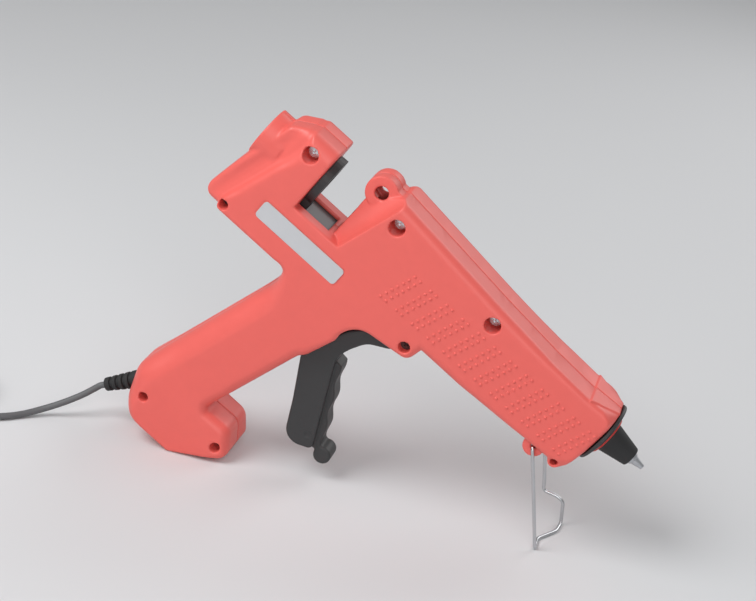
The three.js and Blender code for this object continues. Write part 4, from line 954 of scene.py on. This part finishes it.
def make_trigger():
    """Two side plates on a hub, a narrower finger pad in front, and the pusher behind."""
    x, y, z = sampled(TRIGGER_LOW, TRIGGER_HIGH, TRIGGER_CELL)
    side = np.abs(y)
    plate = both(outline(TRIGGER_PLATE, x, z), side - TRIGGER_HALF, TRIGGER_EDGE)
    hollow = np.maximum(outline(TRIGGER_HOLLOW, x, z), side - TRIGGER_HALF + TRIGGER_WALL)
    plate = without(plate, hollow, TRIGGER_HOLLOW_EDGE)
    hub = np.maximum(disc(LUG, HUB_RADIUS, x, z), slab(side, TRIGGER_HALF - TRIGGER_WALL, TRIGGER_HALF))
    fingers = either(outline(finger_outline(), x, z), disc(HOOK, HOOK_RADIUS, x, z), HOOK_FILLET)
    pad = both(fingers, side - PAD_HALF, PAD_EDGE)
    pusher = beside([PUSHER, pull(-TRIGGER_WALL, 0)], x, z) - PUSHER_RADIUS
    pusher = both(pusher, side - PUSHER_HALF, PUSHER_EDGE)
    whole = np.minimum(either(np.minimum(plate, hub), pad, PAD_FILLET), pusher)
    whole = without(whole, disc(LUG, JOURNAL_BORE, x, z), JOURNAL_EDGE)
    dimple = np.maximum(disc(EJECTOR, EJECTOR_RADIUS, x, z), TRIGGER_HALF - EJECTOR_DEPTH - side)
    whole = without(whole, dimple, EJECTOR_EDGE)
    points, quads = surface(whole, (x.flat[0], y.flat[0], z.flat[0]), TRIGGER_CELL)
    piece = mesh_piece("trigger_pull", in_frame(points), quads)
    thin_out(piece, TRIGGER_KEEP)
    return piece


def add(piece, body, slot, *nodes):
    """Says which body a piece rides on, and hides the nodes that it stands for; slot is not used."""
    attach(piece, body)
    if nodes:
        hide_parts(*nodes)
    return piece


near_shell, far_shell = make_housing()
add(near_shell, "gun_body", "red_plastic", "left_housing")
add(far_shell, "gun_body", "red_plastic", "right_housing")
trigger = add(make_trigger(), "trigger", "black_plastic", "trigger")

# Turned pieces, wire and dots


def ring_faces(rings, sides):
    """Quads between rings of points, each pair given by the numbers of its rings."""
    faces = []
    for here, there in rings:
        for k in range(sides):
            after = (k + 1) % sides
            faces.append((here * sides + k, there * sides + k, there * sides + after, here * sides + after))
    return np.array(faces)


def turned(name, corners, place):
    """A turned piece from a closed profile of distance along the axis and radius.

    place puts its points in the frame.
    """
    profile = np.array(rounded(corners))
    angles = np.linspace(0, 2 * math.pi, TURNED_SIDES, endpoint=False)
    along = np.repeat(profile[:, 0][:, None], TURNED_SIDES, 1)
    out = profile[:, 1][:, None]
    points = np.stack([along, out * np.sin(angles), out * np.cos(angles)], -1).reshape(-1, 3)
    count = len(profile)
    faces = ring_faces([(i, (i + 1) % count) for i in range(count)], TURNED_SIDES)
    piece = mesh_piece(name, place(points), faces)
    piece.data.set_sharp_from_angle(angle=SHARP_ANGLE)
    return piece


def relief_place(points):
    """Points along the strain relief's own axis, as points of the frame."""
    s, c = math.sin(RELIEF_SLOPE), math.cos(RELIEF_SLOPE)
    p = points * MM
    mouth = in_frame(RELIEF_MOUTH)
    return np.stack([
        mouth[0] - p[:, 0] * c + p[:, 2] * s,
        mouth[1] + p[:, 1],
        mouth[2] - p[:, 0] * s - p[:, 2] * c,
    ], -1)


def relief_profile():
    """A tapered sleeve with slots round it."""
    profile = list(RELIEF_ROOT)
    pitch = RELIEF_LENGTH / (RELIEF_SLOTS + 1)
    taper = (RELIEF_WIDE - RELIEF_NARROW) / RELIEF_LENGTH
    half, floor = RELIEF_SLOT_HALF, RELIEF_SLOT_FLOOR
    for i in range(1, RELIEF_SLOTS + 1):
        for at, depth in ((-half, 0), (-floor, RELIEF_SLOT_DEPTH), (floor, RELIEF_SLOT_DEPTH), (half, 0)):
            out = i * pitch + at
            profile.append((out, RELIEF_WIDE - taper * out - depth, RELIEF_SLOT_EDGE))
    return profile + RELIEF_TIP


def make_wire_stand():
    """One bent wire: two legs hooked into the ears and a foot loop on the floor."""
    path = bent(np.array(STAND_WAY, float) * MM, STAND_BEND * MM, steps=8)
    curve = tube_curve("stand_curve", path, STAND_RADIUS * MM, resolution=4)
    graph = bpy.context.evaluated_depsgraph_get()
    piece = bpy.data.objects.new("stand_wire", bpy.data.meshes.new_from_object(curve.evaluated_get(graph)))
    bpy.context.scene.collection.objects.link(piece)
    bpy.data.objects.remove(curve)
    return piece


def dot_dome():
    """Points and faces of one dot that stands on the plane y = 0."""
    points = []
    for ring in range(DOT_RINGS + 1):
        turn = math.pi / 2 * ring / DOT_RINGS
        out = DOT_RADIUS * math.cos(turn)
        for k in range(DOT_SIDES):
            angle = 2 * math.pi * k / DOT_SIDES
            points.append((out * math.cos(angle), DOT_HEIGHT * math.sin(turn), out * math.sin(angle)))
    return np.array(points), ring_faces([(ring, ring + 1) for ring in range(DOT_RINGS)], DOT_SIDES)


def make_dots(name, side):
    """Bands of two rows of raised dots on one flank."""
    dome, faces = dot_dome()
    lean = np.array([math.sin(DOT_LEAN), 0, math.cos(DOT_LEAN)])
    points, quads = [], []
    for band in range(DOT_BANDS):
        for row in range(DOT_ROWS):
            start = np.array([
                DOT_START[0] + band * DOT_BAND_PITCH + row * DOT_ROW_PITCH,
                0,
                DOT_START[1] + band * DOT_BAND_RISE,
            ])
            for dot in range(DOTS_IN_ROW):
                quads.append(faces + len(points) * len(dome))
                points.append(dome + start + lean * dot * DOT_PITCH)
    points = np.concatenate(points)
    points[:, 1] = side * (points[:, 1] + BODY_HALF - DOT_SUNK)
    quads = np.concatenate(quads)
    return mesh_piece(name, in_frame(points), quads if side < 0 else quads[:, ::-1])


ring = add(turned("ring_front", FRONT_RING, in_frame), "gun_body", "black_plastic", "front_ring")
seal = add(turned("seal_red", SEAL_RING, in_frame), "gun_body", "red_rubber", "red_seal_ring")
cone = add(turned("nozzle_cone", CONE, in_frame), "gun_body", "black_rubber", "nozzle_sleeve")
tip = add(turned("nozzle_tip", NOZZLE, in_frame), "gun_body", "cast_aluminium", "nozzle")
relief = turned("cord_relief", relief_profile(), relief_place)
add(relief, "gun_body", "black_rubber", "strain_relief")
stand = add(make_wire_stand(), "wire_stand", "zinc_steel", "wire_stand")
near_dots = add(make_dots("near_dots", -1), "gun_body", "red_plastic")
far_dots = add(make_dots("far_dots", 1), "gun_body", "red_plastic")

# Materials

MOTTLE_DETAIL = 3
GRAIN_SIZE = 0.35
GRAIN_DETAIL = 2
GRAIN_STRENGTH = 0.6
ROUGHNESS_SPREAD = 0.05


def linear(value):
    """A colour value given as it shows on screen, 0 to 255, as a linear one."""
    share = value / 255
    return share / 12.92 if share <= 0.04045 else ((share + 0.055) / 1.055) ** 2.4


def material(name, colour, roughness, metallic=0, mottle=0.04, mottle_size=6, relief=0.05):
    """A moulded, turned or drawn surface: slight mottling of the colour and a fine relief.

    mottle is a share of the colour, and mottle_size and relief are millimetres.
    """
    made = bpy.data.materials.new(name)
    made.use_nodes = True
    nodes, links = made.node_tree.nodes, made.node_tree.links
    shader = nodes["Principled BSDF"]
    place = nodes.new("ShaderNodeTexCoord")
    cloud = nodes.new("ShaderNodeTexNoise")
    cloud.inputs["Scale"].default_value = 1 / (mottle_size * MM)
    cloud.inputs["Detail"].default_value = MOTTLE_DETAIL
    mix = nodes.new("ShaderNodeMix")
    mix.data_type = "RGBA"
    dark, light, share, blended = mix.inputs[6], mix.inputs[7], mix.inputs[0], mix.outputs[2]
    shade = [linear(value) for value in colour]
    dark.default_value = (*(value * (1 - mottle) for value in shade), 1)
    light.default_value = (*(min(value * (1 + mottle), 1) for value in shade), 1)
    grain = nodes.new("ShaderNodeTexNoise")
    grain.inputs["Scale"].default_value = 1 / (GRAIN_SIZE * MM)
    grain.inputs["Detail"].default_value = GRAIN_DETAIL
    bump = nodes.new("ShaderNodeBump")
    bump.inputs["Strength"].default_value = GRAIN_STRENGTH
    bump.inputs["Distance"].default_value = relief * MM
    rough = nodes.new("ShaderNodeMapRange")
    rough.inputs["To Min"].default_value = roughness - ROUGHNESS_SPREAD
    rough.inputs["To Max"].default_value = roughness + ROUGHNESS_SPREAD
    links.new(place.outputs["Object"], cloud.inputs["Vector"])
    links.new(place.outputs["Object"], grain.inputs["Vector"])
    links.new(cloud.outputs["Fac"], share)
    links.new(blended, shader.inputs["Base Color"])
    links.new(cloud.outputs["Fac"], rough.inputs["Value"])
    links.new(rough.outputs["Result"], shader.inputs["Roughness"])
    links.new(grain.outputs["Fac"], bump.inputs["Height"])
    links.new(bump.outputs["Normal"], shader.inputs["Normal"])
    shader.inputs["Metallic"].default_value = metallic
    return made


RED_PLASTIC = material("red_plastic_look", (233, 101, 93), 0.42, mottle=0.03, relief=0.02)
BLACK_PLASTIC = material("black_plastic_look", (52, 52, 53), 0.5, mottle=0.12, mottle_size=2, relief=0.04)
BLACK_RUBBER = material("black_rubber_look", (40, 40, 41), 0.7, mottle=0.1, relief=0.05)
RED_RUBBER = material("red_rubber_look", (206, 52, 46), 0.5)
GREY_PLASTIC = material("grey_plastic_look", (118, 118, 120), 0.45)
CORD_GREY = material("cord_look", (96, 97, 99), 0.5, mottle=0.06)
STEEL = material("steel_look", (196, 197, 200), 0.25, metallic=1, relief=0.01)
# Steel for the screws low on the housing, darker and brownish: painted shade of the recesses they sit in
SHADED_STEEL = material("painted_shade_steel_look", (96, 78, 76), 0.5, metallic=0.6, relief=0.01)
ALUMINIUM = material("aluminium_look", (190, 192, 196), 0.42, metallic=1, relief=0.05)
BRASS = material("brass_look", (205, 190, 150), 0.3, metallic=1, relief=0.01)
CERAMIC = material("ceramic_look", (226, 221, 208), 0.65)
LABEL = material("label_look", (203, 204, 207), 0.38, metallic=0.35, mottle=0.02, relief=0.005)

# Looks of the nodes that stay as they are, and of the pieces made here
LOOKS = {
    BLACK_PLASTIC: ["feed_clamp", "cord_clamp", "cord_tie"],
    BLACK_RUBBER: ["clamp_grip_ring"],
    RED_RUBBER: ["live_lead"],
    GREY_PLASTIC: ["feed_lever", "feed_slide", "stick_guide", "neutral_lead", "plug"],
    CORD_GREY: ["inner_cord"],
    STEEL: [
        "head_screw", "eyelet_screw", "barrel_screw", "lever_pin", "slide_pin", "return_spring",
        "clamp_screw_rear", "clamp_screw_front",
    ],
    # The screws low on the housing, in the steel darkened with painted shade
    SHADED_STEEL: ["lug_screw", "nose_screw", "rear_screw", "butt_screw", "foot_screw"],
    ALUMINIUM: ["melt_chamber"],
    BRASS: ["plug_pin_left", "plug_pin_right"],
    CERAMIC: ["heater", "rear_support", "front_support", "terminal_block"],
    LABEL: ["label_plate"],
}
PIECE_LOOKS = {
    RED_PLASTIC: [near_shell, far_shell, near_dots, far_dots],
    BLACK_PLASTIC: [trigger, ring],
    BLACK_RUBBER: [cone, relief],
    RED_RUBBER: [seal],
    CORD_GREY: [cord],
    STEEL: [stand],
    ALUMINIUM: [tip],
}


def dress(piece, look):
    """Gives a piece its one material."""
    piece.data.materials.clear()
    piece.data.materials.append(look)


for look, names in LOOKS.items():
    for name in names:
        dress(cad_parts[name], look)
for look, pieces in PIECE_LOOKS.items():
    for piece in pieces:
        dress(piece, look)

# Stage and light


def make_stage():
    """A plain pale floor."""
    bpy.ops.mesh.primitive_plane_add(size=STAGE_SIZE)
    floor = bpy.context.object
    floor.name = "floor"
    look = material("floor_look", (216, 217, 219), 0.8, mottle=0.01, mottle_size=400, relief=0.01)
    dress(floor, look)


def make_lamps():
    """Soft round lamps that all point at the gun."""
    for name, (place, size, watts) in LAMPS.items():
        data = bpy.data.lights.new(name, "AREA")
        data.shape = "DISK"
        data.size = size
        data.energy = watts
        lamp = bpy.data.objects.new(name, data)
        lamp.location = place
        lamp.rotation_euler = (Vector(LAMP_AIM) - Vector(place)).to_track_quat("-Z", "Y").to_euler()
        bpy.context.scene.collection.objects.link(lamp)


def make_world():
    """An even white light from all round."""
    world = bpy.data.worlds.new("world")
    world.use_nodes = True
    world.node_tree.nodes["Background"].inputs["Color"].default_value = (1, 1, 1, 1)
    world.node_tree.nodes["Background"].inputs["Strength"].default_value = WORLD_LIGHT
    bpy.context.scene.world = world


make_stage()
make_lamps()
make_world()
bpy.context.scene.view_settings.view_transform = "Standard"

bpy.context.view_layer.update()
